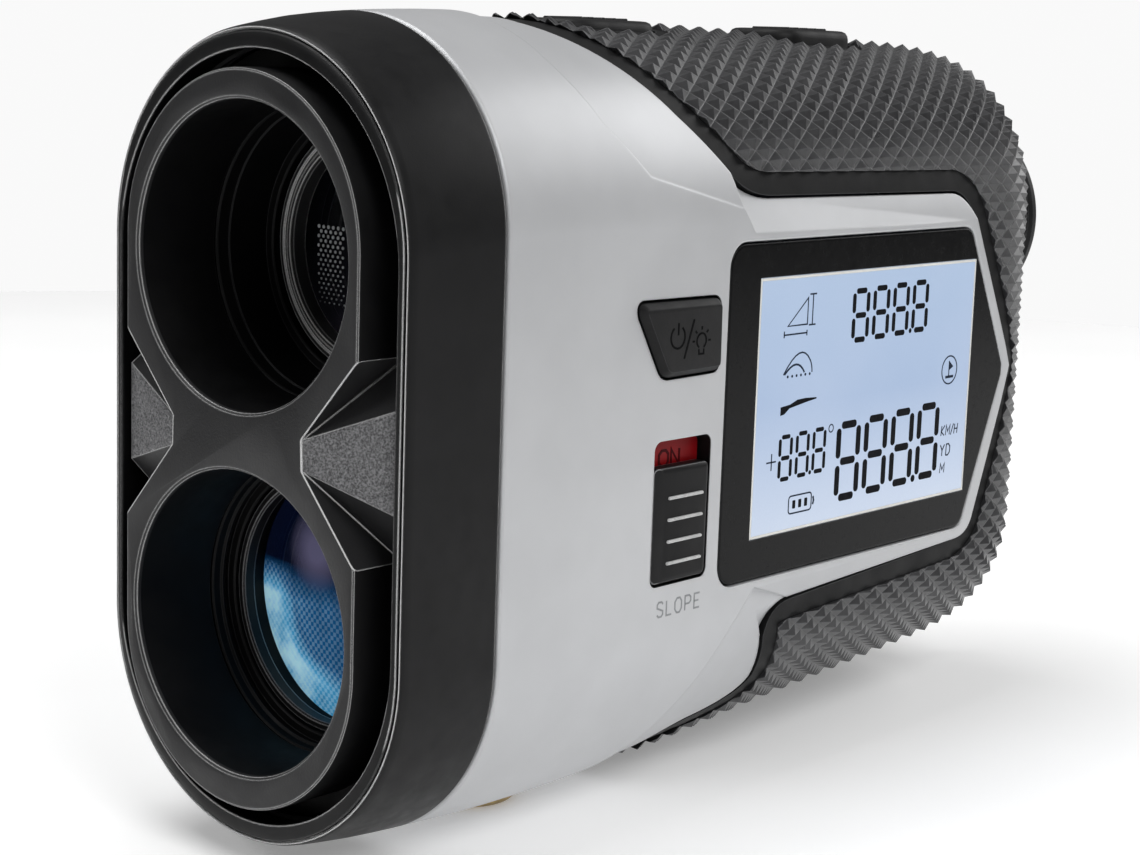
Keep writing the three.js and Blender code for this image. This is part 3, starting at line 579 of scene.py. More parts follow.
def skin_at(y):
    """(half width, top, bottom) at each y, smooth along the body."""
    y = np.atleast_1d(np.asarray(y, float))
    held = np.clip(y, 0, ROUND_START)
    i = np.clip(np.searchsorted(SKIN[:, 0], held, side="right") - 1, 0, len(SKIN) - 2)
    h = (SKIN[i + 1, 0] - SKIN[i, 0])[:, None]
    t = ((held - SKIN[i, 0])[:, None]) / h
    value = (
        (2 * t**3 - 3 * t**2 + 1) * SKIN[i, 1:]
        + (t**3 - 2 * t**2 + t) * h * SLOPES[i]
        + (-2 * t**3 + 3 * t**2) * SKIN[i + 1, 1:]
        + (t**3 - t**2) * h * SLOPES[i + 1]
    )
    past = np.clip(y - ROUND_START, 0, None)
    reach = np.minimum(past / (BODY_END - ROUND_START), 1) * 0.985
    drop = ROUND_DEPTH * (1 - np.sqrt(1 - reach**2))
    value[:, 0] -= drop
    value[:, 1] -= TOP_SHARE * drop + 0.02 * past
    value[:, 2] += TOP_SHARE * drop + 0.04 * past
    return value


def source_y(y, inset):
    """The skin station that an inset surface at y is measured from."""
    y = np.asarray(y, float)
    stretch = (BODY_END - ROUND_START) / (BODY_END - inset - ROUND_START)
    return np.where(y > ROUND_START, ROUND_START + (y - ROUND_START) * stretch, np.maximum(y, 0))


def skin_ring(y, inset, shift=PLAIN_SHIFT):
    half, top, bottom = skin_at(source_y(y, inset))[0]
    radius = half - inset
    ring = []
    for centre, start in ((top - half, 0), (bottom + half, math.pi)):
        for i in range(ARC_STEPS + 1):
            a = start + math.pi * i / ARC_STEPS
            ring.append((-radius * math.cos(a) + shift[0], y, centre + radius * math.sin(a) + shift[1]))
    return ring


def stations(y0, y1, inset=0.0):
    """Where the skin is sampled: every 3 mm, and closer where the rear end rounds in."""
    first = math.ceil(y0 / 3) * 3
    ys = [y0] + [y for y in np.arange(first, min(y1, ROUND_START), 3) if y0 + 0.6 < y < y1 - 0.6]
    end = BODY_END - inset
    for i in range(1, 18):
        y = ROUND_START + (end - ROUND_START) * math.sin(math.pi / 2 * i / 18)
        if y0 + 0.3 < y < y1 - 0.04:
            ys.append(y)
    return ys + [y1]


def skin_solid(y0, y1, inset=0.0, shift=PLAIN_SHIFT):
    return stack([skin_ring(y, inset, shift) for y in stations(y0, y1, inset)])


def skin_section(points, inset):
    """Each point's x and z from the middle line of the skin's section, and the half width there."""
    half, top, bottom = skin_at(source_y(points[:, 1], inset)).T
    return points[:, 0], points[:, 2] - np.clip(points[:, 2], bottom + half, top - half), half


def skin_distance(points, inset):
    """Signed distance of points from the inset skin, across the section."""
    x, z, half = skin_section(points, inset)
    return np.hypot(x, z) - (half - inset)


def skin_normal(points, inset):
    x, z, _ = skin_section(points, inset)
    normal = unit(np.stack([x, np.zeros(len(points)), z], 1))
    step = np.array([0, 0.05, 0])
    normal[:, 1] = (skin_distance(points + step, inset) - skin_distance(points - step, inset)) / 0.1
    return unit(normal)


# -------- finishing a piece


def add_piece(name, source, slot, finish=None, body="housing", replaces=(), smooth=35, insets=()):
    """Moves a datum-space object or shape into the row frame, shades it and ties it to its body.

    insets lists (inset, shift) of the skins whose surfaces get the skin's own exact normals.
    """
    item = source if isinstance(source, bpy.types.Object) else to_object(source)
    item.name = name
    mesh = item.data
    mesh.name = name
    mesh.shade_smooth()
    mesh.set_sharp_from_angle(angle=math.radians(smooth))
    points = np.zeros(len(mesh.vertices) * 3)
    mesh.vertices.foreach_get("co", points)
    points = points.reshape(-1, 3)
    if insets:
        corners = np.zeros(len(mesh.loops) * 3, np.float32)
        mesh.corner_normals.foreach_get("vector", corners)
        corners = corners.reshape(-1, 3)
        at = np.zeros(len(mesh.loops), int)
        mesh.loops.foreach_get("vertex_index", at)
        for inset, shift in insets:
            moved = points - np.array([shift[0], 0, shift[1]])
            near = np.abs(skin_distance(moved, inset)) < 0.012
            exact = skin_normal(moved, inset)
            for polygon in mesh.polygons:
                loops = list(polygon.loop_indices)
                vertices = at[loops]
                if near[vertices].all() and abs(np.dot(polygon.normal, exact[vertices].mean(0))) > 0.9:
                    side = 1 if np.dot(polygon.normal, exact[vertices[0]]) > 0 else -1
                    corners[loops] = exact[vertices] * side
        mesh.normals_split_custom_set([tuple(n) for n in corners])
    mesh.vertices.foreach_set("co", ((points + DATUM_SHIFT) * 0.001).ravel())
    mesh.update()
    mesh.materials.clear()
    mesh.materials.append(MATERIALS[finish or slot])
    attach(item, body)
    if replaces:
        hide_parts(*replaces)
    return item


def repaint(item, finishes, rule):
    """Adds finishes to a piece; rule(centre, normal) gives a polygon's number among them, 0 for its own."""
    for finish in finishes:
        item.data.materials.append(MATERIALS[finish])
    for polygon in item.data.polygons:
        polygon.material_index = rule(np.array(polygon.center) * 1000 - DATUM_SHIFT, polygon.normal)


def soften(item, width):
    """A real bevel along the sharp edges of a CAD node."""
    modifier = item.modifiers.new("edge_round", "BEVEL")
    modifier.width = width / 1000
    modifier.segments = 2
    modifier.limit_method = "ANGLE"
    modifier.angle_limit = math.radians(35)
    modifier.harden_normals = False


# -------- outlines

PANEL = curve_path(
    (11, 46), (30, 46), (30, 39.2), ((35, 36.6), (40.1, 30.6)), (46, 25), ((48.5, 22.5), (53, 22.4)),
    (88.6, 22), ((91.2, 21.8), (92.8, 19.2)), (102.8, 1.1), (95.8, -16.4), ((95, -18.4), (92.6, -18.7)),
    (60, -20.4), ((55.4, -20.6), (55.8, -24.4)), ((57, -27), (57.6, -29.6)), ((57.4, -32.4), (50, -33.4)),
    ((45.6, -34.6), (44, -38)), (44, -46), (11, -46),
)
PLAIN = curve_path(
    (11, 46), (30, 46), (30, 39.2), ((35, 36.6), (40.1, 30.6)), ((49, 21.5), (52, 6)),
    ((54.6, -8), (55.8, -24.4)), ((56.2, -32.4), (50, -33.4)), ((45.6, -34.6), (44, -38)), (44, -46),
    (11, -46),
)
BEZEL = (
    arc((48, -14.8), 2.4, 180, 270)
    + curve_path((91.6, -17.2), ((93.2, -17.2), (93.6, -15.8)))
    + [(100.5, 0.2), (100.5, 1.5)]
    + curve_path((92.6, 16.4), ((92, 18), (90.2, 18)))
    + arc((48, 15.6), 2.4, 90, 180)
)
POWER = curve_path(
    (31.8, 13), (42.8, 12.9), ((43.9, 12.9), (43.9, 11.8)), (44, 6.6), ((44, 5.6), (43, 5.6)),
    (36, 5.5), ((34.9, 5.5), (34.4, 6.4)), (31.2, 11.7), ((30.7, 13), (31.8, 13)),
)[:-1]
SWITCH = rounded(34.6, 43.1, -15.2, -1.1, 0.7)


def button_outline(y):
    return rounded(-4.8, 4.8, y - 7.75, y + 7.75, 3.8)


def button_cut(y, grow):
    return prism(Z, offset(button_outline(y), grow), 30, 46)


def bore(z, radius, y0, y1, steps):
    return lathe([(0, y0), (radius, y0), (radius, y1), (0, y1)], z, steps, cyclic=False)


def turned(name, profile, z, *finish, smooth=30, **rest):
    """A piece turned about a line along Y."""
    return add_piece(name, lathe(profile, z), *finish, smooth=smooth, **rest)


def ramp_edges(share):
    """The lower and upper edge of a side ramp, from its inner end (0) to its outer end (1)."""
    return -1.0 - 3.0 * share, 1.8 + 3.6 * share


# -------- front end

# the shroud's section: y, inset from the skin, and squeeze at the top and bottom
RIM_PROFILE = [
    (12.2, 0.3, 0), (12.12, 0.1, 0), (11.9, 0, 0), (9, 0, 0), (6, 0, 0), (3, 0, 0), (1.3, 0, 0),
    (0.6, 0.03, 0), (0.3, 0.11, 0), (0.2, 0.22, 0), (0.28, 0.32, 0), (0.55, 0.36, 0), (0.55, 0.46, 0),
    (0.2, 0.5, 0), (0.1, 0.56, 0.05), (0.04, 0.8, 0.4), (0, 1.02, 0.8), (0.03, 1.12, 0.85),
    (0.14, 1.2, 0.85), (0.35, 1.25, 0.85), (3.6, 1.25, 0.85), (3.8, 1.6, 0.85), (5, 1.6, 0.5),
    (5.1, 2.2, 0), (9, 2.2, 0), (9, 3.3, 0), (15.2, 3.3, 0), (15.2, 2.5, 0), (12.2, 2.5, 0),
]


def build_front():
    rings = []
    for y, inset, squeeze in RIM_PROFILE:
        rings.append([(x, at, z - math.copysign(squeeze, z)) for x, at, z in skin_ring(y, inset)])
    shroud = add_piece("shroud", stack(rings, cyclic=True), "black_plastic", "rim_black",
                       replaces=["front_shroud"], smooth=40, insets=[(0, PLAIN_SHIFT)])

    # the rim's inner wall, down in the channel, is painted blacker: painted shade
    def shroud_painted_shade(place, _):
        return int(place[1] > 0.4 and skin_distance(place[None], 0)[0] < -1.1)

    repaint(shroud, ["bore_black"], shroud_painted_shade)

    rings = []
    for inset, y in ((0.5, FRONT), (0.26, FRONT + 0.05), (0.09, FRONT + 0.18), (0, FRONT + 0.42), (0, 7.4)):
        radius = PLATE_R - inset
        ring = arc((0, PLATE_Z), radius, 0, 180, 72) + arc((0, -PLATE_Z), radius, 180, 360, 72)
        rings.append([(x, y, z) for x, z in ring])
    plate = to_object(stack(rings), "plate")
    join(plate, skin_solid(5.2, 7.4, 2.5))
    for side in (1, -1):
        notch = [(8.8 * side, 1.8), (8.9 * side, -1), (16.8 * side, -10), (16.8 * side, 10.7)]
        cut(plate, prism(Y, notch, -4, 5.2))
    for side in (1, -1):
        corners = []
        for share, x, y in ((0, RAMP_IN, FRONT + 0.15), (1, RAMP_OUT, 0.9), (0, RAMP_IN, 6.2),
                            (1, RAMP_OUT, 4.6)):
            corners += [(x * side, y, z) for z in ramp_edges(share)]
        corners += [(PLATE_R * side, y, z) for y in (4.2, 6.2) for z in (9.5, -8.9)]
        join(plate, hull(corners))
    for z, radius in ((UPPER_Z, UPPER_R), (LOWER_Z, LOWER_R)):
        flare = [(0, -3), (radius + 0.75, -3), (radius + 0.6, FRONT - 0.01), (radius + 0.3, FRONT + 0.1),
                 (radius + 0.08, FRONT + 0.32), (radius, FRONT + 0.7), (radius - 0.3, 9), (0, 9)]
        cut(plate, lathe(flare, z, 160, cyclic=False))
    face = add_piece("objective_plate_face", plate, "dark_plate", replaces=["objective_plate"], smooth=22)

    # the plate's bores, side walls and back are painted blacker, painted shade; its side ramps get the grit
    # finish
    def plate_grit_and_shade(place, normal):
        x, y, z = place
        if min(math.hypot(x, z - UPPER_Z) - UPPER_R, math.hypot(x, z - LOWER_Z) - LOWER_R) < 0.02:
            return 2
        outside = math.hypot(x, z - min(max(z, -PLATE_Z), PLATE_Z)) > PLATE_R - 0.1
        if (outside and abs(normal.y) < 0.5 and abs(z) > 9) or y > 4.9:
            return 2
        share = (abs(x) - RAMP_IN) / (RAMP_OUT - RAMP_IN)
        low, high = ramp_edges(share)
        return int(0 <= share <= 1 and low < z < high and normal.y < -0.5 and abs(normal.x) > 0.1)

    repaint(face, ["ramp_grit", "bore_black"], plate_grit_and_shade)


def build_ramp_grain():
    """The sandy faces between the two objectives: a height field of small random grains."""
    rng = np.random.default_rng(11)
    along, across = 44, 34
    for side, name in ((1, "ramp_grain_right"), (-1, "ramp_grain_left")):
        rise = rng.random((along + 1, across + 1)) * 0.17
        rise[[0, -1]] = 0
        rise[:, [0, -1]] = 0
        rings = []
        for i in range(along + 1):
            share = 0.012 + 0.976 * i / along
            x, y = side * (RAMP_IN + (RAMP_OUT - RAMP_IN) * share), FRONT + 0.15 + 2.5 * share
            low, high = ramp_edges(share)
            low, high = low + 0.08, high - 0.08
            ring = [(x, y - 0.01 - rise[i, j], low + (high - low) * j / across) for j in range(across + 1)]
            rings.append(ring + [(x, y + 0.4, high), (x, y + 0.4, low)])
        add_piece(name, stack(rings), "dark_plate", "ramp_grit", smooth=70)


def lens(name, z, radius, front, rear, slot, front_sag, rear_sag, **rest):
    """A lens that bulges by front_sag at its front and by rear_sag at its back."""
    share = np.linspace(0, 1, 20)
    face = [(radius * s, front - front_sag * (1 - s * s)) for s in share]
    back = [(radius * s, rear + rear_sag * (1 - s * s)) for s in share[::-1]]
    add_piece(name, lathe(face + back, z, cyclic=False), slot, smooth=30, **rest)


def build_optics():
    upper = [(15.3, 34.5), (15.3, 7.7), (14.0, 7.7), (13.85, 7.9), (13.75, 9), (13.72, 9.1), (13.55, 9.12),
             (13.3, 13.6), (12.55, 13.65), (12.4, 13.8), (12.4, 25), (11.2, 25), (11.2, 34.5)]
    lower = [(15.3, 34.5), (15.3, 7.7), (14.2, 7.7), (14.05, 7.85), (14.0, 8.6), (13.75, 8.75), (13.75, 9.0),
             (13.9, 9.2), (13.9, 9.6), (13.15, 9.65), (13.0, 9.8), (13.0, 18), (11.2, 18), (11.2, 34.5)]
    upper_ring = [(12.1, 16.2), (12.1, 14.35), (11.95, 14.2), (11.5, 14.2), (11.4, 14.35), (11.1, 14.35),
                  (10.95, 14.2), (10.6, 14.25), (10.4, 14.6), (10.4, 16.2)]
    lower_ring = [(12.8, 11.3), (12.8, 10.05), (12.65, 9.9), (12.1, 9.9), (11.9, 10.1), (11.9, 11.3)]
    # the hoods' insides are painted blacker than black_plastic: painted shade in the bores
    for name, profile, z, finish, node in (
        ("upper_hood", upper, UPPER_Z, "bore_black", "upper_barrel"),
        ("lower_hood", lower, LOWER_Z, "bore_black", "lower_barrel"),
        ("upper_ring", upper_ring, UPPER_Z, "dark_plate", "upper_retaining_ring"),
        ("lower_ring", lower_ring, LOWER_Z, "black_plastic", "lower_retaining_ring"),
    ):
        turned(name, profile, z, "black_plastic", finish, replaces=[node], smooth=25)

    radius, front, sag = 12.05, 17.8, 1.2
    lens("aiming_lens", UPPER_Z, radius, front, 19.8, "optical_glass", sag, 0.9,
         replaces=["objective_lens_front"])
    # a grid of pale dots on the lens: a painted reflection
    dots = []
    for row in range(17):
        z, late = 18.7 - 0.47 * row, row % 2
        for column in range(6 - late):
            x = -9.75 + 0.8 * column + 0.4 * late
            y = front - sag * (1 - (x * x + (z - UPPER_Z) ** 2) / radius**2)
            dots.append(prism(Y, circle((x, z), 0.19 - 0.006 * row, 8), y - 0.06, y + 0.1))
    add_piece("aiming_lens_painted_reflection", merge(*dots), "optical_glass", "painted_dot_reflection")
    lens("receiver_glass", LOWER_Z, 12.65, 13.2, 15.4, "blue_coated_glass", 1.6, 1.4,
         replaces=["receiver_lens"])


# -------- silver shells


def lowered_area(outline, shift, x0, x1):
    """What to cut from a shell so that the skin inside the outline lies moved by the shift."""
    return cut(to_object(prism(X, outline, x0, x1)), skin_solid(SHROUD_END, BODY_END, 0, shift))


def build_shell(outline, x0, x1):
    """One shell's skin inside its outline, hollowed, with the shoulder's facet and the button holes."""
    front = SHROUD_END + GAP
    rings = [skin_ring(front, 0.32), skin_ring(front + 0.08, 0.12), skin_ring(front + 0.3, 0)]
    rings += [skin_ring(y, 0) for y in stations(front + 0.9, BODY_END)]
    shell = keep(to_object(stack(rings), "shell"), prism(X, outline, x0, x1))
    cut(shell, skin_solid(SHROUD_END - 1, BODY_END + 0.5, SHELL_WALL))
    shoulder = [(24, 46), (24.4, 38.8), (25.2, 35.5), (28, 30), (33, 25), (50, 21), (50, 46)]
    cut(shell, lowered_area(shoulder, FACET_SHIFT, x0, x1))
    return cut(shell, *(button_cut(y, GAP) for y in TOP_BUTTONS.values()))


def build_shells():
    left = build_shell(PANEL, SEAM, 30)
    above = hull([
        (20.35, 49.5, 18.9), (20.2, 93, 18.9), (18.9, 47.5, 22.9), (18.9, 93, 22.9),
        (26, 45, 18.9), (26, 96, 18.9), (26, 44, 27), (26, 96, 27), (17.6, 46, 27), (17.6, 93, 27),
    ])
    below = hull([
        (20.35, 52, -18.1), (20.2, 95, -18.1), (18.9, 56, -22), (18.9, 95, -22),
        (26, 52, -18.1), (26, 98, -18.1), (26, 52, -24), (26, 98, -24), (18.1, 56, -24.2), (18.1, 95, -24.2),
    ])
    sweep = [(52, -18.1), (48.4, -21.9), (44.5, -27), (38, -36), (35, -43), (62, -43), (62, -21.4)]
    cut(left, above, below, lowered_area(sweep, SWEEP_SHIFT, 4, 30))
    cut(left, slab(X, BEZEL, [(LCD_FACE - 1.5, 0.18), (LCD_FACE - 0.25, 0.18), (26, 2.2), (26.1, 2.2)]))
    cut(left, prism(X, POWER, 10, 26, GAP), prism(X, SWITCH, 18.2, 26, GAP))
    skins = [(0, PLAIN_SHIFT), (0, FACET_SHIFT), (SHELL_WALL, PLAIN_SHIFT)]
    shell = add_piece("left_shell", left, "silver_paint", replaces=["left_housing"], smooth=20,
                      insets=skins + [(0, SWEEP_SHIFT)])

    def pocket_finish(place, normal):
        x, y, z = place
        return int(x > 17.5 and 30 < y < 44.6 and -15.7 < z < 13.5 and abs(normal.x) < 0.5)

    repaint(shell, ["black_plastic"], pocket_finish)
    add_piece("right_shell", build_shell(PLAIN, -30, -SEAM), "silver_paint", replaces=["right_housing"],
              smooth=20, insets=skins)


# -------- grip


def silver_area(grow):
    """What the grip leaves free: both silver areas, grown by a distance."""
    return prism(X, PANEL, 0, 30, grow), prism(X, PLAIN, -30, 0.01, grow)


def tripod_cut(radius):
    return prism(Z, circle((0, TRIPOD_Y), radius, 48), -46, -32)


def build_grip():
    end = BODY_END - GRIP_DROP
    inner = [y for y in stations(29, BODY_END, GRIP_DROP)[:-1] if y < end - 0.02]
    base = to_object(stack([skin_ring(y, GRIP_DROP) for y in inner + [end]]), "grip")
    cut(base, skin_solid(28, end - GRIP_WALL, GRIP_DROP + GRIP_WALL), *silver_area(GAP))
    cut(base, *(button_cut(y, GAP) for y in TOP_BUTTONS.values()))
    cover = rounded(-8.6, 8.6, PORT_Z - 5.9, PORT_Z + 4.4, 1.6)
    socket = rounded(-5.3, 5.3, PORT_Z - 2.5, PORT_Z + 2.5, 1.2)
    cut(base, bore(UPPER_Z, 13, 100, 116, 96), prism(Y, cover, end - 1.2, 116), prism(Y, socket, 104, 116))
    cut(base, *(bore(z, 1.2, 107, 116, 24) for z in (-29.4, -20.6)), tripod_cut(5.8))
    add_piece("grip_base", base, "grip_rubber", "grip_band", replaces=["grip_sleeve"], smooth=30,
              insets=[(GRIP_DROP, PLAIN_SHIFT)])


def knurl_ring(y, insets):
    """Points spread evenly round the grip at one station, each at its own inset."""
    half, top, bottom = skin_at(source_y(y, GRIP_DROP))[0]
    straight = (top - half) - (bottom + half)
    middle = ((top - half) + (bottom + half)) / 2
    around, bend = 2 * math.pi * half + 2 * straight, math.pi * half
    ring = []
    for i, inset in enumerate(insets):
        radius = half - inset
        s = (i / len(insets) * around + straight / 2) % around
        if s < straight:
            point = (radius, middle - straight / 2 + s)
        elif s < straight + bend:
            a = (s - straight) / half
            point = (radius * math.cos(a), top - half + radius * math.sin(a))
        elif s < 2 * straight + bend:
            point = (-radius, top - half - (s - straight - bend))
        else:
            a = math.pi + (s - 2 * straight - bend) / half
            point = (radius * math.cos(a), bottom + half + radius * math.sin(a))
        ring.append((point[0], y, point[1]))
    return ring


def build_knurl():
    """The diamond knurl: low pyramids over the grip, clear of a smooth band along every border."""
    start, count, step, rows = 29, 180, 1.72, 46
    valley, peak = GRIP_DROP - 0.12, GRIP_DROP - 0.72
    vertices = []
    for row in range(rows + 1):
        insets = [peak if (i + row) % 2 == 0 else valley for i in range(count)]
        vertices += knurl_ring(start + row * step, insets)
    for row in (rows, 0):
        vertices += knurl_ring(start + row * step, [GRIP_DROP + 0.4] * count)
    faces = []
    last, inner_last, inner_first = (n * count for n in (rows, rows + 1, rows + 2))
    for i in range(count):
        k = (i + 1) % count
        for row in range(rows):
            a, b = row * count + i, row * count + k
            d, c = a + count, b + count
            faces += [(a, b, d), (b, c, d)] if (i + row) % 2 == 0 else [(a, b, c), (a, c, d)]
        for near, far in ((last, inner_last), (inner_last, inner_first), (inner_first, 0)):
            faces.append((near + i, near + k, far + k, far + i))
    knurl = to_object((vertices, faces), "knurl")
    cut(knurl, *silver_area(2.7), *(button_cut(y, 1.7) for y in TOP_BUTTONS.values()))
    cut(knurl, bore(UPPER_Z, 14.6, 95, 116, 72), tripod_cut(8.5))
    add_piece("grip_knurl", knurl, "grip_rubber", smooth=8)


# -------- display

# strokes of each letter, as points in a box one high
LETTERS = {
    "K": [[(0, 0), (0, 1)], [(0.62, 1), (0, 0.42), (0.66, 0)]],
    "M": [[(0, 0), (0, 1), (0.4, 0.35), (0.8, 1), (0.8, 0)]],
    "/": [[(0, -0.05), (0.4, 1.05)]],
    "H": [[(0, 0), (0, 1)], [(0.62, 0), (0.62, 1)], [(0, 0.5), (0.62, 0.5)]],
    "Y": [[(0, 1), (0.34, 0.5), (0.68, 1)], [(0.34, 0.5), (0.34, 0)]],
    "D": [[(0, 0), (0, 1), (0.35, 1), (0.62, 0.75), (0.62, 0.25), (0.35, 0), (0, 0)]],
    "O": [[(0.2, 0), (0.5, 0), (0.7, 0.25), (0.7, 0.75), (0.5, 1), (0.2, 1), (0, 0.75), (0, 0.25), (0.2, 0)]],
    "N": [[(0, 0), (0, 1), (0.62, 0), (0.62, 1)]],
    "S": [[(0.6, 0.85), (0.45, 1), (0.15, 1), (0, 0.85), (0, 0.62), (0.6, 0.38), (0.6, 0.15), (0.45, 0),
           (0.15, 0), (0, 0.15)]],
    "L": [[(0, 1), (0, 0), (0.55, 0)]],
    "P": [[(0, 0), (0, 1), (0.45, 1), (0.62, 0.85), (0.62, 0.6), (0.45, 0.45), (0, 0.45)]],
    "E": [[(0.58, 1), (0, 1), (0, 0), (0.58, 0)], [(0, 0.5), (0.48, 0.5)]],
}


def word(text, y, z, height, width, span, slant=0.0, space=0.32, wide=1.0):
    """A unit or function word in plain strokes, starting at (y, z)."""
    shapes = []
    for letter in text:
        reach = 0
        for line in LETTERS[letter]:
            points = [(y + (u * wide + slant * v) * height, z + v * height) for u, v in line]
            shapes.append(stroke(points, width, span))
            reach = max(reach, max(u for u, _ in line))
        y += (reach * wide + space) * height
    return merge(*shapes)


def digit(y0, y1, z0, z1, bar, span):
    """A seven-segment figure with rounded bars."""
    middle, half, wide = (z0 + z1) / 2, bar * 0.44, bar * 0.95
    outlines = []
    for z in (z0 + half, middle, z1 - half):
        outlines.append(rounded(y0 + wide * 1.02, y1 - wide * 1.02, z - half, z + half, half * 0.95, 4))
    for y in (y0, y1 - wide):
        for low, high in ((middle + bar * 0.42, z1 - bar * 0.75), (z0 + bar * 0.75, middle - bar * 0.42)):
            outlines.append(rounded(y, y + wide, low, high, wide * 0.49, 4))
    return merge(*(prism(X, outline, *span) for outline in outlines))


def dot(y, z, radius, span, steps=16):
    return prism(X, circle((y, z), radius, steps), *span)


def build_display():
    y0, y1, z0, z1 = LCD
    levels = [(LCD_FACE - 1.2, 0), (LCD_FACE - 0.18, 0), (LCD_FACE - 0.05, -0.05), (LCD_FACE, -0.2)]
    bezel = cut(to_object(slab(X, BEZEL, levels)), box(16, 24, y0, y1, z0, z1))
    add_piece("display_bezel", bezel, "gloss_black", replaces=["lcd_bezel"], smooth=30)
    glass = rounded(y0 + 0.03, y1 - 0.03, z0 + 0.03, z1 - 0.03, 0.2, 4)
    face = LCD_FACE - 0.06
    add_piece("display_glass", slab(X, glass, [(17.6, 0), (face - 0.05, 0), (face, -0.05)]), "lcd",
              replaces=["lcd_glass"])
    left, right, bottom, top = y0 + 0.2, y1 - 0.2, z0 + 0.2, z1 - 0.2
    rim = [(left, bottom), (right, bottom), (right, top), (left, top)]
    # a white line round the display's edge: a painted highlight
    add_piece("display_edge_highlight", stroke(rim, 0.3, (face - 0.02, face + 0.015), closed=True), "backlight")

    span = (face - 0.02, face + 0.02)
    figures = [dot(82.1, -10.2, 0.42, span), dot(79.75, 6.95, 0.28, span), dot(61.35, -7.0, 0.24, span)]
    for count, y0, y1, z0, z1, bar, step, rise in (
        (4, 66.15, 70.85, -10.95, -2.1, 0.95, 5.42, 0.13),
        (4, 67.92, 71.28, 6.4, 12.35, 0.7, 3.99, 0.08),
        (3, 55.4, 57.95, -7.4, -2.4, 0.54, 3.1, 0.07),
    ):
        for y, z in ((step * i, rise * i) for i in range(count)):
            figures.append(digit(y0 + y, y1 + y, z0 + z, z1 + z, bar, span))
    add_piece("display_figures", merge(*figures), "lcd", "segment_ink")

    thin = 0.17
    icons = []
    for weight, points in (
        (1, [(60.4, 9), (60.4, 12.25)]), (1, [(59.8, 9), (61, 9)]), (1, [(59.8, 12.25), (61, 12.25)]),
        (1, [(55.4, 8.2), (59.5, 8.2)]), (1, [(55.4, 7.9), (55.4, 8.6)]), (1, [(59.5, 7.9), (59.5, 8.5)]),
        (1, curve_path((55.6, 4), ((58.6, 7.6), (60.4, 5.2)), ((60.8, 4.6), (60.8, 3.9)))),
        (1.3, curve_path((55.8, 4), ((58, 5.9), (59.4, 4)))),
        (1, [(88.6, 0.95), (88.6, 2.8)]), (1.8, [(87.9, 0.95), (89.6, 0.95)]),
        (1, [(53.3, -5.1), (55, -5.1)]), (1, [(54.2, -6), (54.2, -4.2)]),
        (1.6, [(62.2, -10.6), (62.35, -10.15), (62.2, -9.7)]),
    ):
        icons.append(stroke(points, thin * weight, span))
    for weight, points in (
        (1, [(56, 9.1), (59.5, 11.9), (59.5, 9.1)]), (1, circle((88.7, 1.75), 1.62, 40)),
        (0.8, circle((65, -2.6), 0.42, 20)), (1, rounded(57.7, 61.9, -11.1, -9.2, 0.4, 4)),
    ):
        icons.append(stroke(points, thin * weight, span, closed=True))
    icons += [dot(56.4 + 0.8 * i, 3.75, 0.16, span, 10) for i in range(6)]
    icons.append(prism(X, [(88.6, 1.7), (89.5, 2.1), (88.6, 2.8)], *span))
    icons.append(word("KM/H", 87.7, -5.9, 1.15, 0.15, span, slant=0.12, space=0.26, wide=0.9))
    icons.append(word("YD", 87.7, -8.3, 1.3, 0.17, span, slant=0.05))
    icons.append(word("M", 87.9, -10.3, 1.1, 0.15, span, slant=0.1))
    add_piece("display_icons", merge(*icons), "lcd", "icon_ink")

    long_bar = [(55.4, -0.3), (56.1, -0.2), (57, 0.35), (60, 0.75), (61.9, 0.95), (61.9, 1.1), (59.9, 1.2),
                (58.4, 1.15), (57.1, 0.75), (55.4, 0.6)]
    charge = [rounded(58.4 + 1.1 * i, 58.95 + 1.1 * i, -10.6, -9.7, 0.1, 2) for i in range(3)]
    marks = merge(*(prism(X, outline, *span) for outline in [long_bar] + charge))
    add_piece("display_marks", marks, "lcd", "segment_ink")


# -------- side controls and top buttons


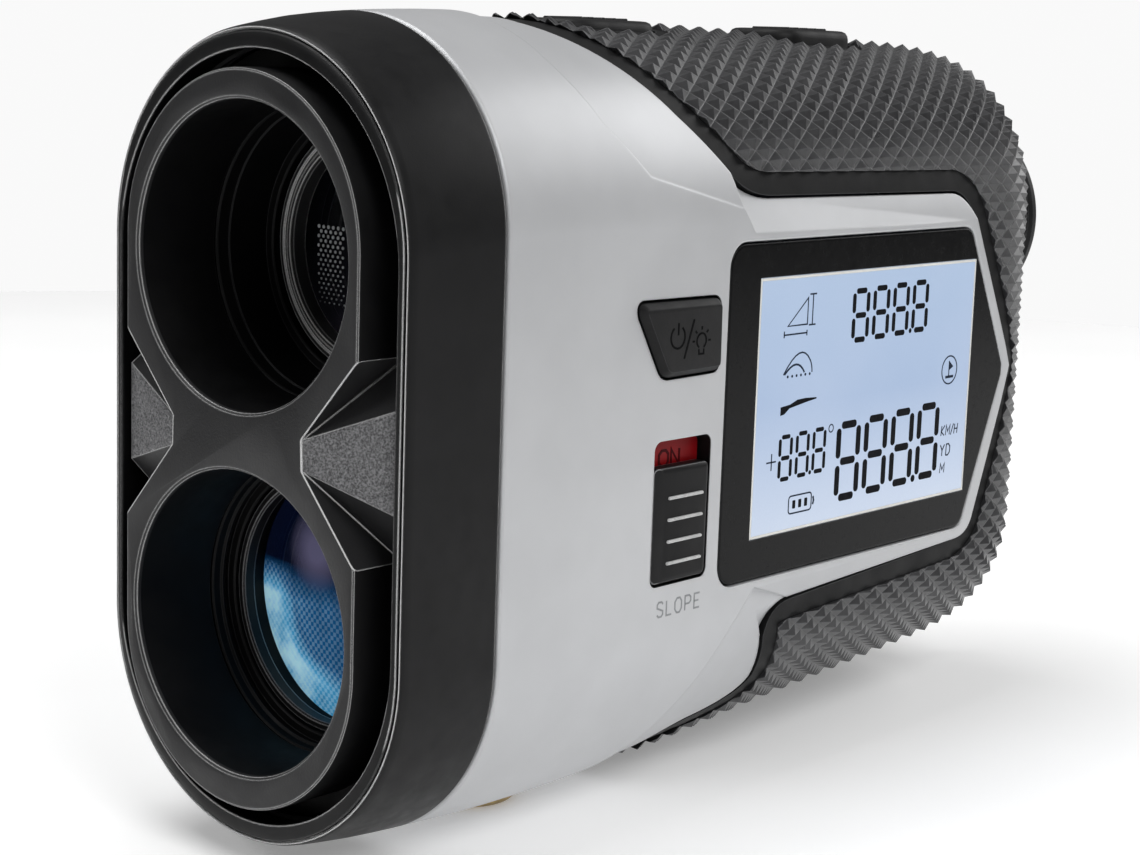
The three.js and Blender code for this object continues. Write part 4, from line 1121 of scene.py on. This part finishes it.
def build_controls():
    face = 21.05
    levels = ((17.9, 0), (20.35, 0), (20.5, -0.08), (face - 0.08, -0.5), (face - 0.02, -0.56), (face, -0.68))
    cap = hull([(x, y, z) for x, grow in levels for y, z in offset(POWER, grow)])
    add_piece("power_key", cap, "button_rubber", body="power_button", replaces=["power_button"], smooth=22)
    lamp = (40.1, 8.9)
    marks = []
    for width, points in (
        (0.22, arc((36.3, 9.5), 1.1, 125, 415, 24)), (0.22, [(36.35, 9.7), (36.35, 10.9)]),
        (0.24, [(37.4, 7.3), (38.8, 11.1)]), (0.2, arc(lamp, 0.75, -60, 240, 20)),
        (0.2, [(39.7, 8.1), (39.75, 7.6), (40.5, 7.6), (40.5, 8.1)]),
        *((0.2, arc(lamp, 1.1, a, a, 0) + arc(lamp, 1.45, a, a, 0)) for a in (0, 45, 90, 135, 180)),
    ):
        marks.append(stroke(points, width, (face - 0.03, face + 0.025)))
    add_piece("power_key_marks", merge(*marks), "button_rubber", "dark_ink", body="power_button")

    bed = slab(X, SWITCH, [(18.5, 0), (18.75, 0), (18.8, -0.05)])
    add_piece("switch_bed", bed, "red_plastic", replaces=["slope_bed"])
    on = word("ON", 36.9, -3.75, 1.6, 0.3, (18.78, 18.84), space=0.3, wide=1.3)
    add_piece("switch_word", on, "red_plastic", "red_ink")

    low, high = -15.2, -3.5
    levels = [(19.1, 0), (20.1, 0), (20.3, -0.08), (20.42, -0.25), (20.5, -0.5)]
    knob = to_object(slab(X, rounded(34.6, 43.1, low, high, 0.7), levels))
    front_slope = ((19.9, 34), (21.5, 34), (21.5, 36.3), (20.5, 36.05))
    cut(knob, hull([(x, y, z) for z in (low - 1, high + 1) for x, y in front_slope]))
    add_piece("slope_slider", knob, "black_plastic", body="slope_knob", replaces=["slope_knob"], smooth=25)
    lines = []
    for z in (-13.2 + 2.2 * i for i in range(4)):
        outline = rounded(36.5, 42, z - 0.16, z + 0.16, 0.15, 4)
        lines.append(slab(X, outline, [(20.3, 0), (20.62, 0), (20.72, -0.05)]))
    add_piece("slope_slider_lines", merge(*lines), "black_plastic", "line_paint", body="slope_knob")
    slope = word("SLOPE", 35.7, -18.6, 1.5, 0.2, (20.26, 20.315), space=0.38)
    add_piece("slope_word", slope, "silver_paint", "faint_ink")

    for name, middle in TOP_BUTTONS.items():
        levels = [(37.4, 0), (38.9, 0), (39.35, -0.1), (39.7, -0.35), (39.86, -0.75), (39.9, -1.2)]
        add_piece(name + "_cap", slab(Z, button_outline(middle), levels), "button_rubber", body=name,
                  replaces=[name], smooth=40)
        ribs = []
        for y in (middle - 3.6 + 1.8 * i for i in range(5)):
            outline = rounded(-2.6, 2.6, y - 0.28, y + 0.28, 0.26, 4)
            ribs.append(slab(Z, outline, [(39.6, 0), (40.02, 0), (40.12, -0.1)]))
        add_piece(name + "_ribs", merge(*ribs), "button_rubber", body=name)


# -------- rear end and underside


def build_rear():
    tube_profile = [(10.9, 84.5), (12.6, 84.5), (12.6, 112.9), (12.4, 113.2), (10.9, 113.2)]
    turned("eyepiece_tube", tube_profile, UPPER_Z, "black_plastic", replaces=["eyepiece_barrel"])

    teeth, steps = 36, 8
    rings = []
    for y, rise in ((113.5, 0.0), (113.65, 0.12), (113.9, 0.45), (116.5, 0.45), (116.8, 0.12), (117, 0.0)):
        ring = []
        for i in range(teeth * steps):
            phase = (i % steps) / steps
            radius = 12.95 + rise * max(0.0, math.sin(math.pi * min(phase / 0.6, 1.0)))
            a = 2 * math.pi * i / (teeth * steps)
            ring.append((radius * math.cos(a), y, UPPER_Z + radius * math.sin(a)))
        rings.append(ring)
    ring = cut(to_object(stack(rings)), bore(UPPER_Z, 10.9, 113, 118, 96))
    add_piece("diopter_grip", ring, "black_plastic", body="diopter", replaces=["diopter_ring"], smooth=40)

    cup = [(9.4, 117.3), (12.3, 117.3), (12.6, 117.5), (12.75, 117.9), (12.55, 118.2), (12.6, 118.45),
           (12.9, 118.8), (12.9, 119.4), (12.75, 119.85), (12.4, 120.15), (11.95, REAR), (11.5, 120.15),
           (11.2, 119.9), (10.95, 119.3), (10.6, 118.8), (10.0, 118.5), (9.5, 118.3), (9.35, 118.0)]
    turned("eyecup_rubber", cup, UPPER_Z, "button_rubber", body="diopter", replaces=["eyecup"], smooth=40)
    cell = [(8.9, 103), (10.6, 103), (10.6, 115), (10.45, 115.2), (9.1, 115.2), (8.95, 115), (8.75, 114.8),
            (8.7, 114.65), (8.9, 114.6), (8.9, 111.8), (8.2, 111.8), (8.2, 110.8), (8.9, 110.8)]
    turned("focus_tube", cell, UPPER_Z, "black_plastic", body="focus", replaces=["focus_cell"])
    lens("ocular_lens", UPPER_Z, 8.5, 113.1, 114.6, "optical_glass", 1.1, 0.3, body="focus",
         replaces=["eye_lens"])

    flap = rounded(-8.3, 8.3, PORT_Z - 4.1, PORT_Z + 4.1, 1.4)
    plug = rounded(-4.2, 4.2, PORT_Z - 1.3, PORT_Z + 1.3, 0.5)
    tab = rounded(-2.4, 2.4, PORT_Z + 2.5, PORT_Z + 3.3, 0.35)
    hinge = circle((111.9, PORT_Z - 4.5), 0.7, 24)
    cover = merge(
        slab(Y, flap, [(111.2, -0.1), (111.3, 0), (112.3, 0), (112.5, -0.15), (112.6, -0.4)]),
        slab(Y, plug, [(109.6, -0.1), (109.8, 0), (111.3, 0)]),
        prism(X, hinge, -6, 6),
        slab(Y, tab, [(112.4, 0), (112.8, 0), (112.9, -0.1)]),
    )
    add_piece("port_flap", cover, "button_rubber", body="port_cover", replaces=["port_cover"], smooth=30)

    path = [(109.4, -29.4), (113, -29.4)] + arc((116.2, -27.4), 2, -90, 0, 10) + [(118.2, -25)]
    path += arc((116.2, -22.6), 2, 0, 90, 10) + [(113, -20.6), (109.4, -20.6)]
    add_piece("lanyard_wire", tube(path, 0.9), "steel", replaces=["lanyard_loop"], smooth=40)

    insert = [(5.5, -33.4), (5.5, -39.9), (5.2, BASE), (3.6, BASE), (3.2, BASE + 0.4)]
    for z in (-39.2 + i * 0.65 for i in range(7)):
        insert += [(3.15, z), (3.15, z + 0.08), (2.75, z + 0.32), (2.75, z + 0.4)]
    insert += [(3.15, -34.6), (0.001, -34.6), (0.001, -33.4)]
    rings = [[(x, y, z) for x, y in circle((0, TRIPOD_Y), radius, 64)] for radius, z in insert]
    add_piece("tripod_socket", stack(rings, cyclic=True), "brass", replaces=["tripod_insert"], smooth=30)


def dress_nodes():
    """Gives the CAD nodes their finishes, and a small bevel to those that are still shown."""
    finish = {row["node"]: row["material_slot"] for row in frame["record"]["subparts"]}
    for name, item in frame["nodes"].items():
        item.data.materials.clear()
        item.data.materials.append(MATERIALS[finish[name]])
        if not item.hide_render:
            soften(item, 0.12)


# -------- stage, light and camera, in metres


def build_floor():
    floor = to_object(([(x, y, 0) for x, y in circle((0, 0), 0.46, 128)], [tuple(range(128))]), "floor")
    floor.location.z = -0.0002
    s = Shader("floor_paper", (0.86, 0.86, 0.86, 1), 0.75)
    s.color(s.mix(s.ramp(s.noise(40, 3), 0.3, 0.7), (0.85, 0.85, 0.85, 1), (0.88, 0.88, 0.88, 1)))
    s.glow(WHITE, 0.25)
    floor.data.materials.append(s.mat)


def build_lights():
    """A white world, brighter to the camera than to the object, and four soft lamps."""
    world = bpy.data.worlds.new("studio")
    scene.world = world
    world.use_nodes = True
    tree = world.node_tree
    background = tree.nodes["Background"]
    background.inputs["Color"].default_value = WHITE
    path = tree.nodes.new("ShaderNodeLightPath")
    level = tree.nodes.new("ShaderNodeMapRange")
    level.inputs["To Min"].default_value = 0.15
    level.inputs["To Max"].default_value = 0.95
    tree.links.new(path.outputs["Is Camera Ray"], level.inputs["Value"])
    tree.links.new(level.outputs["Result"], background.inputs["Strength"])

    centre = Vector((0, 0, 0.04))
    for name, place, size, power in (
        ("key", (-0.2, -0.12, 0.85), 0.6, 4.4),
        ("side", (0.72, -0.25, 0.66), 0.5, 3.9),
        ("front", (-0.3, -0.7, 0.55), 0.3, 1.3),
        ("rear", (0.25, 0.8, 0.5), 0.6, 2.6),
    ):
        light = bpy.data.lights.new(name, "AREA")
        light.shape = "DISK"
        light.size = size
        light.energy = power
        item = bpy.data.objects.new(name, light)
        item.location = place
        item.rotation_euler = (centre - Vector(place)).to_track_quat("-Z", "Y").to_euler()
        scene.collection.objects.link(item)


def build_camera():
    camera = bpy.data.cameras.new("camera")
    camera.lens = 71.27
    camera.sensor_width = 36
    camera.clip_start, camera.clip_end = 0.01, 20
    azimuth, elevation, roll = (math.radians(v) for v in (40.4929, 9.5028, 1.94256))
    level = math.cos(elevation)
    back = Vector((math.sin(azimuth) * level, -math.cos(azimuth) * level, math.sin(elevation)))
    right = Vector((math.cos(azimuth), math.sin(azimuth), 0))
    up = back.cross(right)
    axis_x = right * math.cos(roll) + up * math.sin(roll)
    axis_y = up * math.cos(roll) - right * math.sin(roll)
    turn = Matrix((axis_x, axis_y, back)).transposed().to_4x4()
    item = bpy.data.objects.new("camera", camera)
    item.matrix_world = Matrix.Translation((0.154805, -0.195329, 0.076946)) @ turn
    scene.collection.objects.link(item)
    scene.camera = item
    scene.view_settings.view_transform = "Standard"


build_front()
build_ramp_grain()
build_optics()
build_shells()
build_grip()
build_knurl()
build_display()
build_controls()
build_rear()
dress_nodes()
build_floor()
build_lights()
build_camera()
